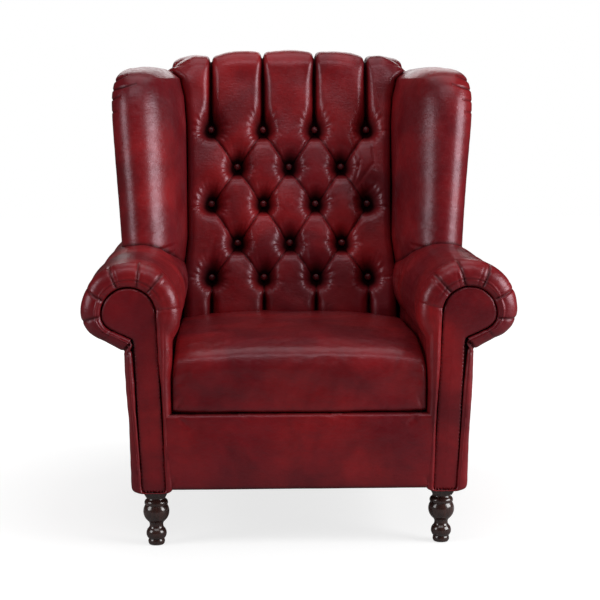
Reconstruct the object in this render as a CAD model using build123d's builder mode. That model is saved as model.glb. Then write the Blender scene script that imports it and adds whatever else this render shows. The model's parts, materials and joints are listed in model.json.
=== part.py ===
from build123d import *
from math import cos, radians, sin, sqrt, tan
import os

# Deep-buttoned wing armchair. Millimetres, +Z up, the front faces -Y, origin on the floor under the middle of
# the bounding box. Every pair of pieces is made on the right (+X) and mirrored to the left.

# Overall size
overall_width = 920.0
overall_height = 1067.0
overall_depth = 850.0
half_width = overall_width / 2
front_y = -overall_depth / 2
rear_y = overall_depth / 2

# Materials and clearances
leather = 2.5  # hide with its lining
soft_gap = 0.3  # between curved soft pieces
cut_over = 6.0  # overrun of every cut
diagonal_share = 0.7071  # of a radius, at half a right angle
fit_gap = 0.1  # round a screw, bolt or wire

# Legs and floor
arm_bottom_z = 122.0
glide_radius = 9.0
glide_height = 5.0
glide_stand = 1.5  # how far the glide stands out of the foot
plinth_height = 15.0
plinth_top_side = 54.0
plinth_bottom_side = 40.0
front_leg_inset = 153.0
front_leg_x = half_width - front_leg_inset
front_leg_setback = 45.0
front_leg_y = front_y + front_leg_setback
bulb_radius = 27.9
back_leg_top_side = 46.0
back_leg_bottom_side = 34.0
back_leg_rake = 40.0

# Arms
roll_radius = 105.0
roll_x = half_width - roll_radius
roll_z = 508.0
roll_under_radius = 60.0  # tighter curve of the roll's outer underside
roll_under_angle = 65.0
arm_inset = 190.0
arm_inner_x = half_width - arm_inset
arm_outer_bottom_inset = 110.0
arm_outer_bottom_x = half_width - arm_outer_bottom_inset
arm_outer_neck_inset = 97.0
arm_outer_neck_x = half_width - arm_outer_neck_inset
lip_radius = 20.0  # rounding of the arm's padded front
lip_steps = 4
facing_thickness = 10.0
facing_recess = 14.0
facing_gap = 2.5
facing_edge = 2.0
facing_head_radius = 58.0
facing_head_inset = 101.0
facing_head_x = half_width - facing_head_inset
facing_head_z = 503.0
facing_under_radius = 35.0
facing_bottom_inner_inset = 177.0
facing_bottom_inner_x = half_width - facing_bottom_inner_inset
facing_bottom_outer_inset = 127.0
facing_bottom_outer_x = half_width - facing_bottom_outer_inset
facing_neck_inset = 112.0
facing_neck_x = half_width - facing_neck_inset
facing_neck_drop = 9.0
facing_bottom_lift = 1.5
facing_bottom_z = arm_bottom_z + facing_bottom_lift

# Seat
seat_half_width = arm_inner_x - soft_gap
seat_crease_z = 291.0
seat_back_y = 125.0
seat_front_top_z = 388.0
seat_nose_setback = 62.0
seat_side_z = 423.0
seat_crown = 26.0
seat_back_side_z = 420.0
seat_back_crown = 17.0
seat_front_setback = 8.0
seat_front_bulge = 5.0

# Apron
apron_bottom_z = 127.0
apron_setback = 2.0
apron_face_y = front_y + apron_setback
apron_edge_radius = 5.0

# Seat frame
rail_thickness = 30.0
rail_height = 80.0
rail_bottom_z = 137.0
rail_top_z = rail_bottom_z + rail_height
front_rail_setback = 25.0
front_rail_y = front_y + front_rail_setback  # front face of the front rail
post_inset = 168.0
post_inner_x = half_width - post_inset
post_width = 40.0
post_depth = 40.0
post_bottom_z = arm_bottom_z + leather
arm_rail_bottom_z = 470.0
arm_rail_height = 30.0
arm_rail_width = 80.0

# Back frame, raked
rake = 6.85
outside_back_thickness = 4.0
outside_back_drop = 27.0
outside_back_top_z = overall_height - outside_back_drop
back_post_inset = 184.0
back_post_inner_x = half_width - back_post_inset
back_post_width = 40.0
back_post_depth = 45.0
back_post_drop = 112.0
back_post_top_z = overall_height - back_post_drop
top_rail_drop = 177.0
top_rail_z = overall_height - top_rail_drop
lower_rail_z = 440.0
back_rail_height = 55.0
back_rail_thickness = 30.0
webbing_thickness = 2.0
webbing_width = 50.0
webbing_columns = 3
webbing_rows = 3

# Inside back
back_bottom_z = 300.0
back_low_y = 130.0  # crown of the padding at the seat
back_lean_from_z = 440.0
back_lean_drop = 67.0
back_lean_to_z = overall_height - back_lean_drop
back_high_y = 262.0
back_low_inset = 210.6
back_half_low = half_width - back_low_inset
back_high_inset = 208.0
back_half_high = half_width - back_high_inset
back_shoulder_inset = 168.0
back_shoulder_half = half_width - back_shoulder_inset
back_shoulder_drop = 36.0
back_shoulder_z = overall_height - back_shoulder_drop
back_crest_y = 338.0
back_crest_inset = 245.0
back_crest_half = half_width - back_crest_inset
back_crest_depth = 37.0
side_setback = 20.0
button_pitch_share = 0.5152  # of the back's half width
button_pitch = back_half_low * button_pitch_share
button_row_drops = [553.5, 470.0, 375.0, 285.0, 194.0]
button_rows_z = [overall_height - drop for drop in button_row_drops]
button_depth = 42.0
button_radius = 8.5
button_height = 6.0
button_edge = 2.0
button_play = 1.0
pleat_depth = 18.0
pleat_flat = 1.75  # half width of a closed channel
channel_depth = 28.0
notch_depth = 14.0
notch_half_width = 6.0

# Wings
wing_low_z = 560.0
wing_drop = 45.0
wing_top_z = overall_height - wing_drop
wing_front_y = -18.0
wing_retreat = 168.0  # how far the front edge slopes back by the top
wing_inner_ref_inset = 168.0
wing_inner_ref_x = half_width - wing_inner_ref_inset
wing_outer_inset = 39.0
wing_outer_x = half_width - wing_outer_inset
wing_nose_radius = 34.0
wing_inner_bulge = 7.0
wing_rear_low_inset = 110.0
wing_rear_low_x = half_width - wing_rear_low_inset
wing_rear_high_inset = 134.0
wing_rear_high_x = half_width - wing_rear_high_inset
wing_setback = 12.0
wing_board_thickness = 18.0
wing_board_rear_inset = 166.0
wing_board_rear_x = half_width - wing_board_rear_inset
wing_board_front_inset = 102.0
wing_board_front_x = half_width - wing_board_front_inset
wing_board_front_y = 95.0
wing_board_rear_y = 372.0
wing_board_drop = 117.0
wing_board_top_z = overall_height - wing_board_drop
wing_foam_thickness = 24.0
wing_foam_bottom_z = 650.0
wing_foam_drop = 142.0
wing_foam_top_z = overall_height - wing_foam_drop
wing_foam_margin = 22.0

# Springs, clips, blocks and fasteners
spring_wire = 3.8
spring_count = 4
spring_pitch = 120.0
spring_turn_radius = 16.0
spring_half_width = 26.0
spring_turns = 18
clip_length = 22.0
clip_width = 18.0
clip_height = 7.0
block_side = 62.0
block_height = 46.0
screw_radius = 2.5
screw_head_radius = 5.0
screw_head_height = 2.5
screw_length = 40.0
bolt_radius = 4.0
bolt_bottom_z = 92.0
bolt_top_z = 168.0
nut_radius = 5.5
nut_height = 9.0
flange_radius = 11.0
flange_height = 1.5
dust_cover_thickness = 1.5


def finish(piece, name):
    """Labels a finished piece and writes it."""
    piece.part.label = name
    export_step(piece.part, "parts/" + name + ".step")


def finish_pair(right, name):
    """Writes a right-hand piece and its mirror image on the left."""
    finish(right, name + "_right")
    with BuildPart() as left:
        mirror(right.part, about=Plane.YZ)
    finish(left, name + "_left")


# The raked plane of the frame's rear face, its normal facing forward and its y axis climbing the rake
rear_low_y = (
    rear_y
    - outside_back_thickness / cos(radians(rake))
    - (outside_back_top_z - arm_bottom_z) * tan(radians(rake))
)
rear_plane = Plane(
    origin=(0, rear_low_y, arm_bottom_z),
    x_dir=(1, 0, 0),
    z_dir=(0, -cos(radians(rake)), sin(radians(rake))),
)


def rear_at(z):
    """Y of the frame's rear face at height z."""
    return rear_low_y + (z - arm_bottom_z) * tan(radians(rake))


def up_rake(z):
    """Distance up the raked plane to height z."""
    return (z - arm_bottom_z) / cos(radians(rake))


def between(table, x):
    """Straight-line value of a table of (place, value) pairs at x, held level past its ends."""
    if x <= table[0][0]:
        return table[0][1]
    for (x0, y0), (x1, y1) in zip(table, table[1:]):
        if x <= x1:
            return y0 + (y1 - y0) * (x - x0) / (x1 - x0)
    return table[-1][1]


# Front and back posts, and the rails between them
with BuildPart() as front_post:
    with BuildSketch(Plane.XY.offset(post_bottom_z)):
        with Locations((post_inner_x, front_rail_y - leather * 2)):
            Rectangle(post_width, post_depth, align=(Align.MIN, Align.MIN))
    extrude(amount=arm_rail_bottom_z - post_bottom_z)

with BuildPart() as back_post:
    with BuildSketch(rear_plane):
        with Locations((back_post_inner_x, up_rake(post_bottom_z))):
            Rectangle(
                back_post_width,
                up_rake(back_post_top_z) - up_rake(post_bottom_z),
                align=Align.MIN,
            )
    extrude(amount=back_post_depth)
    # The foot of the post is cut level
    split(bisect_by=Plane.XY.offset(post_bottom_z), keep=Keep.TOP)

post_front_y = front_rail_y - leather * 2
post_back_y = post_front_y + post_depth

with BuildPart() as side_rail:
    with BuildSketch(Plane.XY.offset(rail_bottom_z)):
        with Locations((post_inner_x, post_back_y)):
            Rectangle(rail_thickness, rear_at(rail_top_z) - post_back_y, align=(Align.MIN, Align.MIN))
    extrude(amount=rail_height)
    add(back_post.part, mode=Mode.SUBTRACT)
    split(bisect_by=rear_plane.offset(back_post_depth), keep=Keep.TOP)

with BuildPart() as arm_rail:
    with BuildSketch(Plane.XY.offset(arm_rail_bottom_z)):
        with Locations((post_inner_x, post_front_y)):
            Rectangle(arm_rail_width, rear_at(arm_rail_bottom_z) - post_front_y, align=(Align.MIN, Align.MIN))
    extrude(amount=arm_rail_height)
    split(bisect_by=rear_plane.offset(leather), keep=Keep.TOP)
    add(back_post.part, mode=Mode.SUBTRACT)

with BuildPart() as front_rail:
    with BuildSketch(Plane.XY.offset(rail_bottom_z)):
        with Locations((0, front_rail_y)):
            Rectangle(2 * post_inner_x, rail_thickness, align=(Align.CENTER, Align.MIN))
    extrude(amount=rail_height)

back_rail_y = rear_at(rail_bottom_z) - back_post_depth / cos(radians(rake))
with BuildPart() as back_rail:
    with BuildSketch(Plane.XY.offset(rail_bottom_z)):
        with Locations((0, back_rail_y)):
            Rectangle(2 * back_post_inner_x, rail_thickness, align=(Align.CENTER, Align.MIN))
    extrude(amount=rail_height)

with BuildPart() as lower_back_rail:
    with BuildSketch(rear_plane):
        with Locations((0, up_rake(lower_rail_z))):
            Rectangle(2 * back_post_inner_x, back_rail_height, align=(Align.CENTER, Align.MIN))
    extrude(amount=back_rail_thickness)

with BuildPart() as top_back_rail:
    with BuildSketch(rear_plane):
        with Locations((0, up_rake(top_rail_z))):
            Rectangle(2 * back_post_inner_x, back_rail_height, align=(Align.CENTER, Align.MIN))
    extrude(amount=back_rail_thickness)

# Wing board: an upright board from the back post's front out to the wing's front, standing on the arm rail
board_across = wing_board_front_x - wing_board_rear_x
board_run = sqrt(board_across**2 + (wing_board_rear_y - wing_board_front_y) ** 2)
board_out_x = wing_board_thickness * (wing_board_rear_y - wing_board_front_y) / board_run
board_out_y = wing_board_thickness * (wing_board_front_x - wing_board_rear_x) / board_run
board_bottom_z = arm_rail_bottom_z + arm_rail_height

with BuildPart() as wing_board:
    with BuildSketch(Plane.XY.offset(board_bottom_z)):
        with BuildLine():
            Polyline(
                (wing_board_rear_x, wing_board_rear_y),
                (wing_board_front_x, wing_board_front_y),
                (wing_board_front_x + board_out_x, wing_board_front_y + board_out_y),
                (wing_board_rear_x + board_out_x, wing_board_rear_y + board_out_y),
                close=True,
            )
        make_face()
    extrude(amount=wing_board_top_z - board_bottom_z)
    split(bisect_by=rear_plane.offset(back_post_depth), keep=Keep.TOP)


def arm_outline(inset):
    """Closed outline of the right arm seen from the front, drawn in by inset."""
    half_chord = sqrt((roll_radius - inset) ** 2 - (roll_x - arm_inner_x - inset) ** 2)
    under_x = half_width - roll_under_radius
    under_r = roll_under_radius - inset
    under_end_x = under_x + under_r * cos(radians(roll_under_angle))
    under_end_z = roll_z - under_r * sin(radians(roll_under_angle))
    neck_x = arm_outer_neck_x - inset
    neck_z = under_end_z - (under_end_x - neck_x) / tan(radians(roll_under_angle))
    step_z = seat_crease_z + inset
    shoulder = (roll_radius - inset) * diagonal_share
    inner_x = post_inner_x - leather + inset
    with BuildLine() as outline:
        Polyline(
            (inner_x, arm_bottom_z + inset),
            (inner_x, step_z),
            (arm_inner_x + inset, step_z),
            (arm_inner_x + inset, roll_z - half_chord),
        )
        ThreePointArc(
            (arm_inner_x + inset, roll_z - half_chord),
            (roll_x - roll_radius + inset, roll_z),
            (roll_x, roll_z + roll_radius - inset),
        )
        ThreePointArc(
            (roll_x, roll_z + roll_radius - inset),
            (roll_x + shoulder, roll_z + shoulder),
            (half_width - inset, roll_z),
        )
        ThreePointArc(
            (half_width - inset, roll_z),
            (
                under_x + under_r * cos(radians(roll_under_angle / 2)),
                roll_z - under_r * sin(radians(roll_under_angle / 2)),
            ),
            (under_end_x, under_end_z),
        )
        Polyline(
            (under_end_x, under_end_z),
            (neck_x, neck_z),
            (arm_outer_bottom_x - inset, arm_bottom_z + inset),
            (inner_x, arm_bottom_z + inset),
        )
    return outline.wires()[0]


def arm_body(inset, front):
    """The right arm from its front plane back past the rear of the frame, drawn in by inset."""
    with BuildPart() as body:
        with BuildSketch(Plane.XZ.offset(-front)):
            make_face(arm_outline(inset))
        extrude(amount=front - rear_y - cut_over)
    return body


with BuildPart() as arm_form:
    # The padded front rounds over in steps of a quarter turn
    with BuildSketch(Plane.XZ.offset(-rear_y - cut_over)):
        make_face(arm_outline(0))
    for step in range(lip_steps + 1):
        turn = radians(90 * step / lip_steps)
        with BuildSketch(Plane.XZ.offset(-(front_y + lip_radius) + lip_radius * sin(turn))):
            make_face(arm_outline(lip_radius * (1 - cos(turn))))
    loft(ruled=True)
    split(bisect_by=rear_plane, keep=Keep.TOP)

core_front_y = front_y + facing_recess + leather
arm_core = arm_body(leather, core_front_y)
arm_reach = arm_body(-soft_gap, front_y)


def facing_face(grow):
    """The keyhole-shaped front panel of the right arm, grown by a gap."""
    head_r = facing_head_radius + grow
    under_r = facing_under_radius + grow
    under_x = facing_head_x + facing_head_radius - facing_under_radius
    under_end_x = under_x + under_r * cos(radians(roll_under_angle))
    under_end_z = facing_head_z - under_r * sin(radians(roll_under_angle))
    neck_x = facing_neck_x + grow
    neck_z = under_end_z - (under_end_x - neck_x) / tan(radians(roll_under_angle))
    bottom_inner = (facing_bottom_inner_x - grow, facing_bottom_z)
    head_inner = (facing_head_x - head_r, facing_head_z)
    head_outer = (facing_head_x + head_r, facing_head_z)
    under_middle = (
        under_x + under_r * cos(radians(roll_under_angle / 2)),
        facing_head_z - under_r * sin(radians(roll_under_angle / 2)),
    )
    with BuildSketch() as face:
        with BuildLine():
            Line(bottom_inner, head_inner)
            ThreePointArc(head_inner, (facing_head_x, facing_head_z + head_r), head_outer)
            ThreePointArc(head_outer, under_middle, (under_end_x, under_end_z))
            Polyline(
                (under_end_x, under_end_z),
                (neck_x, neck_z),
                (neck_x - facing_edge, neck_z - facing_neck_drop),
                (facing_bottom_outer_x + grow, facing_bottom_z),
                bottom_inner,
            )
        make_face()
    return face.sketch


with BuildPart() as facing_pocket:
    with BuildSketch(Plane.XZ.offset(-(front_y + facing_recess))):
        add(facing_face(facing_gap))
        # The pocket is open towards the apron and at the bottom
        with BuildLine():
            Polyline(
                (facing_bottom_inner_x - cut_over, arm_bottom_z - cut_over),
                (facing_bottom_inner_x - cut_over, seat_crease_z - leather),
                (facing_bottom_outer_x, seat_crease_z - leather),
                (facing_bottom_outer_x, arm_bottom_z - cut_over),
                close=True,
            )
        make_face()
    extrude(amount=facing_recess + cut_over)

with BuildPart() as arm_facing:
    with BuildSketch(Plane.XZ.offset(-(front_y + facing_recess))):
        add(facing_face(0))
    extrude(amount=facing_thickness)
    chamfer(arm_facing.faces().sort_by(Axis.Y)[0].edges(), facing_edge)
finish_pair(arm_facing, "arm_facing")


# Legs, their plinths, bolts, tee nuts and glides
back_leg_x = back_post_inner_x + back_post_width / 2
back_leg_y = rear_low_y - back_leg_top_side / 2 - soft_gap
leg_places = [
    (side * x, y)
    for side in (-1, 1)
    for x, y in ((front_leg_x, front_leg_y), (back_leg_x, back_leg_y))
]
foot_places = [
    (side * x, y)
    for side in (-1, 1)
    for x, y in ((front_leg_x, front_leg_y), (back_leg_x, back_leg_y + back_leg_rake))
]


def upright_pins(radius, low_z, high_z, places):
    """One upright cylinder at each place."""
    with BuildPart() as pins:
        with BuildSketch(Plane.XY.offset(low_z)):
            with Locations(*places):
                Circle(radius)
        extrude(amount=high_z - low_z)
    return pins


leg_bolts = upright_pins(bolt_radius, bolt_bottom_z, bolt_top_z, leg_places)
finish(leg_bolts, "leg_bolts")
leg_bolt_reach = upright_pins(
    bolt_radius + fit_gap, bolt_bottom_z - fit_gap, bolt_top_z + fit_gap, leg_places
)

leg_glides = upright_pins(glide_radius, 0, glide_height, foot_places)
finish(leg_glides, "leg_glides")
glide_reach = upright_pins(glide_radius + fit_gap, -cut_over, glide_height, foot_places)

nut_barrels = upright_pins(nut_radius, post_bottom_z, post_bottom_z + nut_height, leg_places)
with BuildPart() as leg_tee_nuts:
    add(nut_barrels.part)
    with BuildSketch(Plane.XY.offset(post_bottom_z)):
        with Locations(*leg_places):
            Circle(flange_radius)
    extrude(amount=flange_height)
    add(leg_bolt_reach.part, mode=Mode.SUBTRACT)
finish(leg_tee_nuts, "leg_tee_nuts")

# Turned leg: shares of the bulb's radius and of the height under the plinth
front_leg_top_z = arm_bottom_z - plinth_height
foot_share = (0.556, 0.014)
turned_arc_shares = [
    ((0.642, 0.069), (0.588, 0.128)),
    ((0.781, 0.246), (0.652, 0.336)),
    ((0.520, 0.411), (0.663, 0.495)),
    ((1.000, 0.678), (0.849, 0.822)),
    ((0.903, 0.883), (0.753, 0.935)),
    ((0.699, 0.963), (0.717, 1.000)),
]


def turned_point(shares):
    """A point of the leg's profile from its shares."""
    return (front_leg_x + shares[0] * bulb_radius, shares[1] * front_leg_top_z)


with BuildPart() as front_leg:
    with BuildSketch(Plane.XZ.offset(-front_leg_y)):
        with BuildLine():
            start = turned_point(foot_share)
            Polyline((front_leg_x, front_leg_top_z), (front_leg_x, start[1]), start)
            for middle_share, end_share in turned_arc_shares:
                ThreePointArc(start, turned_point(middle_share), turned_point(end_share))
                start = turned_point(end_share)
            Line(start, (front_leg_x, front_leg_top_z))
        make_face()
    revolve(axis=Axis((front_leg_x, front_leg_y, 0), (0, 0, 1)))
    add(leg_bolt_reach.part, mode=Mode.SUBTRACT)
    add(glide_reach.part, mode=Mode.SUBTRACT)
finish_pair(front_leg, "front_leg")

with BuildPart() as leg_plinth:
    with BuildSketch(Plane.XY.offset(front_leg_top_z)):
        with Locations((front_leg_x, front_leg_y)):
            Rectangle(plinth_bottom_side, plinth_bottom_side)
    with BuildSketch(Plane.XY.offset(arm_bottom_z)):
        with Locations((front_leg_x, front_leg_y)):
            Rectangle(plinth_top_side, plinth_top_side)
    loft()
    add(leg_bolt_reach.part, mode=Mode.SUBTRACT)
finish_pair(leg_plinth, "leg_plinth")

with BuildPart() as back_leg:
    with BuildSketch(Plane.XY.offset(glide_stand)):
        with Locations((back_leg_x, back_leg_y + back_leg_rake)):
            Rectangle(back_leg_bottom_side, back_leg_bottom_side)
    with BuildSketch(Plane.XY.offset(arm_bottom_z)):
        with Locations((back_leg_x, back_leg_y)):
            Rectangle(back_leg_top_side, back_leg_top_side)
    loft()
    add(leg_bolt_reach.part, mode=Mode.SUBTRACT)
    add(glide_reach.part, mode=Mode.SUBTRACT)
finish_pair(back_leg, "back_leg")

# Corner blocks, each held by a screw into either rail
block_z = rail_bottom_z + (rail_height - block_height) / 2
screw_offset_share = 0.55
screw_seat_share = 0.32
screw_offset = block_side * screw_offset_share
screw_seat = block_side * screw_seat_share
low_screw_z = block_z + block_height / 3
high_screw_z = block_z + block_height * 2 / 3
block_corners = [(front_rail_y + rail_thickness, 1), (back_rail_y, -1)]


def screw_pins(radius, start, end):
    """Cylinders on the screws' axes, from start to end measured inward from the rails' faces."""
    with BuildPart() as pins:
        for side in (-1, 1):
            for corner_y, inward in block_corners:
                x_start = (side * (post_inner_x - start), corner_y + inward * screw_offset, low_screw_z)
                y_start = (side * (post_inner_x - screw_offset), corner_y + inward * start, high_screw_z)
                along_x = Plane(origin=x_start, z_dir=(side, 0, 0))
                along_y = Plane(origin=y_start, z_dir=(0, -inward, 0))
                for axis_plane in (along_x, along_y):
                    with BuildSketch(axis_plane):
                        Circle(radius)
                    extrude(amount=start - end)
    return pins


screw_end = screw_seat - screw_length
with BuildPart() as corner_block_screws:
    add(screw_pins(screw_radius, screw_seat, screw_end).part)
    add(screw_pins(screw_head_radius, screw_seat + screw_head_height, screw_seat).part)
finish(corner_block_screws, "corner_block_screws")
screw_reach = screw_pins(screw_radius + fit_gap, screw_seat + fit_gap, screw_end - fit_gap)
head_reach = screw_pins(screw_head_radius + fit_gap, block_side, screw_seat)

with BuildPart() as corner_blocks:
    for side in (-1, 1):
        for corner_y, inward in block_corners:
            with BuildSketch(Plane.XY.offset(block_z)):
                with BuildLine():
                    Polyline(
                        (side * post_inner_x, corner_y),
                        (side * (post_inner_x - block_side), corner_y),
                        (side * post_inner_x, corner_y + inward * block_side),
                        close=True,
                    )
                make_face()
            extrude(amount=block_height)
    add(screw_reach.part, mode=Mode.SUBTRACT)
    add(head_reach.part, mode=Mode.SUBTRACT)
finish(corner_blocks, "corner_blocks")

# The frame's own pieces, bored for their screws, bolts and nuts
bored = [
    (front_rail, "front_rail", (screw_reach,)),
    (back_rail, "back_rail", (screw_reach,)),
    (lower_back_rail, "lower_back_rail", ()),
    (top_back_rail, "top_back_rail", ()),
]
for piece, name, bores in bored:
    with BuildPart() as bored_piece:
        add(piece.part)
        for bore in bores:
            add(bore.part, mode=Mode.SUBTRACT)
    finish(bored_piece, name)
bored_pairs = [
    (front_post, "front_arm_post", (leg_bolts, leg_bolt_reach, leg_tee_nuts)),
    (back_post, "back_post", (leg_bolts, leg_bolt_reach, leg_tee_nuts)),
    (side_rail, "side_rail", (screw_reach,)),
    (arm_rail, "arm_rail", ()),
    (wing_board, "wing_frame", ()),
]
for piece, name, bores in bored_pairs:
    with BuildPart() as bored_piece:
        add(piece.part)
        for bore in bores:
            add(bore.part, mode=Mode.SUBTRACT)
    finish_pair(bored_piece, name)

# Webbing tacked across the front of the back rails, uprights first and cross bands over them
with BuildPart() as back_webbing:
    upright_low = up_rake(lower_rail_z)
    upright_high = up_rake(top_rail_z) + back_rail_height
    upright_step = 2 * back_post_inner_x / (webbing_columns + 1)
    cross_step = (upright_high - upright_low) / (webbing_rows + 1)
    for column in range(webbing_columns):
        with BuildSketch(rear_plane.offset(back_rail_thickness)):
            with Locations((-back_post_inner_x + upright_step * (column + 1), upright_low)):
                Rectangle(webbing_width, upright_high - upright_low, align=(Align.CENTER, Align.MIN))
        extrude(amount=webbing_thickness)
    for row in range(webbing_rows):
        with BuildSketch(rear_plane.offset(back_rail_thickness + webbing_thickness)):
            with Locations((0, upright_low + cross_step * (row + 1))):
                Rectangle(2 * back_post_inner_x, webbing_width)
        extrude(amount=webbing_thickness)
finish(back_webbing, "back_webbing")

# Wings: plan sections from inside the roll up to the rounded top. Each row holds the shares of the wing's
# height, of its flare, of its retreat and of its nose radius.
wing_station_shares = [
    (0.00, 0.79, 0.00, 1.00),
    (0.10, 0.81, 0.02, 1.00),
    (0.30, 0.86, 0.11, 1.00),
    (0.52, 0.92, 0.21, 1.00),
    (0.73, 0.98, 0.31, 1.00),
    (0.855, 1.00, 0.38, 1.00),
    (0.92, 0.95, 0.48, 0.90),
    (0.97, 0.81, 0.67, 0.72),
    (1.00, 0.54, 1.00, 0.45),
]

half_width_table = [
    (roll_z + roll_radius, back_half_low),
    (top_rail_z, back_half_high),
    (back_post_top_z, back_half_high + leather * 2),
    (back_lean_to_z, back_post_inner_x - leather * 4),
    (back_shoulder_z, back_shoulder_half),
]
crown_table = [
    (back_lean_from_z, back_low_y),
    (back_lean_to_z, back_high_y),
    (back_shoulder_z, back_high_y + side_setback),
]


def wing_section(height_share, flare_share, retreat_share, nose_share):
    """Plan section of the right wing at one height."""
    z = wing_low_z + height_share * (wing_top_z - wing_low_z)
    inner = Vector(between(half_width_table, z) + soft_gap * 2, between(crown_table, z) + wing_setback)
    radius = wing_nose_radius * nose_share
    outer_x = wing_inner_ref_x + flare_share * (wing_outer_x - wing_inner_ref_x)
    centre = Vector(outer_x - radius, wing_front_y + retreat_share * wing_retreat + radius)
    rear_out = Vector(wing_rear_low_x + (wing_rear_high_x - wing_rear_low_x) * height_share, rear_at(z))
    along = (centre - inner).normalized()
    away = (rear_out - centre).normalized()
    nose_in = centre + Vector(along.Y, -along.X) * radius
    nose_out = centre + Vector(away.Y, -away.X) * radius
    nose_mid = centre + (nose_in + nose_out - centre * 2).normalized() * radius
    belly = (inner + nose_in) / 2 + Vector(along.Y, -along.X) * wing_inner_bulge * nose_share
    with BuildSketch(Plane.XY.offset(z)) as section:
        with BuildLine():
            Polyline(rear_out, (inner.X, rear_at(z)), inner)
            ThreePointArc(inner, belly, nose_in)
            ThreePointArc(nose_in, nose_mid, nose_out)
            Line(nose_out, rear_out)
        make_face()
    return section


with BuildPart() as wing_form:
    for shares in wing_station_shares:
        add(wing_section(*shares).sketch)
    loft(ruled=True)


def board_point(along_share, inward):
    """A point beside the wing board's inner face, a share of the way from its rear to its front."""
    x = wing_board_rear_x + along_share * (wing_board_front_x - wing_board_rear_x)
    y = wing_board_rear_y + along_share * (wing_board_front_y - wing_board_rear_y)
    return (x - inward * board_out_x / wing_board_thickness, y - inward * board_out_y / wing_board_thickness)


foam_end_share = wing_foam_margin / board_run

with BuildPart() as wing_foam:
    with BuildSketch(Plane.XY.offset(wing_foam_bottom_z)):
        with BuildLine():
            Polyline(
                board_point(foam_end_share * 2.5, 0),
                board_point(1 - foam_end_share, 0),
                board_point(1 - foam_end_share * 2, wing_foam_thickness / 2),
                board_point(foam_end_share * 4, wing_foam_thickness),
                close=True,
            )
        make_face()
    extrude(amount=wing_foam_top_z - wing_foam_bottom_z)
finish_pair(wing_foam, "wing_foam")

with BuildPart() as wing_cover:
    add(wing_form.part)
    for held in (back_post, wing_board, wing_foam, arm_reach, top_back_rail, back_webbing):
        add(held.part, mode=Mode.SUBTRACT)
finish_pair(wing_cover, "wing_cover")


# Inside back: plan sections whose front edge is a row of crowns that meet in the pleats. Spread 0 has the
# pleats at the rows of four buttons, spread 1 at the rows of three.
def tuft_valleys(spread):
    """X of the six pleats across the back."""
    half = button_pitch / 2
    outer = 3 * half
    shift = spread * (half - pleat_flat)
    opening = pleat_flat + spread * (half - 2 * pleat_flat)
    right = [half - opening, half + opening, outer - shift]
    return [-x for x in reversed(right)] + right


def tuft_section(z, spread, depth, crown_y, half_width, rear):
    """Plan section of the inside back at height z."""
    valleys = tuft_valleys(spread)
    edge_y = crown_y + min(side_setback, depth)
    points = [Vector(-half_width, edge_y)]
    points += [Vector(x, crown_y + depth) for x in valleys]
    points += [Vector(half_width, edge_y)]
    with BuildSketch(Plane.XY.offset(z)) as section:
        with BuildLine():
            for start, end in zip(points, points[1:]):
                width = end.X - start.X
                middle_y = (start.Y + end.Y) / 2
                rise = min(middle_y - crown_y, width * crown_rise_share)
                ThreePointArc(start, ((start.X + end.X) / 2, middle_y - rise), end)
            Polyline(points[-1], (half_width, rear), (-half_width, rear), points[0])
        make_face()
    return section


crown_rise_share = 0.4
mid_row_shares = [(0.0, 1.0), (0.2, 0.42), (0.5, 0.0), (0.8, 0.42), (1.0, 1.0)]

tuft_rows = [
    (back_bottom_z, 0, pleat_depth),
    (back_lean_from_z, 0, channel_depth),
]
for row, (low, high) in enumerate(zip(button_rows_z, button_rows_z[1:])):
    for climb_share, depth_share in mid_row_shares[: -1]:
        spread = climb_share if row % 2 == 0 else 1 - climb_share
        depth = pleat_depth + (button_depth - pleat_depth) * depth_share
        tuft_rows.append((low + (high - low) * climb_share, spread, depth))
tuft_rows += [
    (button_rows_z[-1], 0, button_depth),
    (top_rail_z, 0, (button_depth + channel_depth) / 2),
    (back_post_top_z, 0, channel_depth),
    (back_lean_to_z, 0, channel_depth),
]
crest_rise = overall_height - back_shoulder_z
crest_shares = [(0.0, 0.0, 0.0, 0.9), (0.42, 0.26, 0.28, 0.7), (0.75, 0.8, 0.6, 0.5), (1.0, 1.0, 1.0, 0.25)]
crest_crown_y = back_high_y + side_setback

with BuildPart() as back_form:
    for z, spread, depth in tuft_rows:
        half = between(half_width_table, z)
        add(tuft_section(z, spread, depth, between(crown_table, z), half, rear_at(z)).sketch)
    for rise_share, narrow_share, roll_share, depth_share in crest_shares:
        z = back_shoulder_z + crest_rise * rise_share
        crown = crest_crown_y + (back_crest_y - crest_crown_y) * roll_share
        half = back_shoulder_half + (back_crest_half - back_shoulder_half) * narrow_share
        crest_rear = back_crest_y + back_crest_depth
        rear = rear_at(back_shoulder_z) + (crest_rear - rear_at(back_shoulder_z)) * roll_share
        add(tuft_section(z, 0, channel_depth * depth_share, crown, half, rear).sketch)
    loft(ruled=True, clean=False)

button_places = []
for row, z in enumerate(button_rows_z):
    columns = [-3, -1, 1, 3] if row % 2 == 0 else [-2, 0, 2]
    for column in columns:
        button_places.append((column * button_pitch / 2, between(crown_table, z) + button_depth, z))

back_foam_front = back_low_y + button_depth + leather * 2
with BuildPart() as back_foam:
    with BuildSketch(Plane.YZ.offset(-back_half_low + side_setback)):
        with BuildLine():
            Polyline(
                (back_foam_front, back_bottom_z + side_setback),
                (back_foam_front, back_lean_from_z),
                (back_high_y + button_depth + leather * 2, back_lean_to_z),
                (rear_at(back_lean_to_z), back_lean_to_z),
                (rear_at(back_bottom_z + side_setback), back_bottom_z + side_setback),
                close=True,
            )
        make_face()
    extrude(amount=2 * (back_half_low - side_setback))
    split(bisect_by=rear_plane.offset(back_rail_thickness + 2 * webbing_thickness), keep=Keep.TOP)
finish(back_foam, "back_foam")

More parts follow.
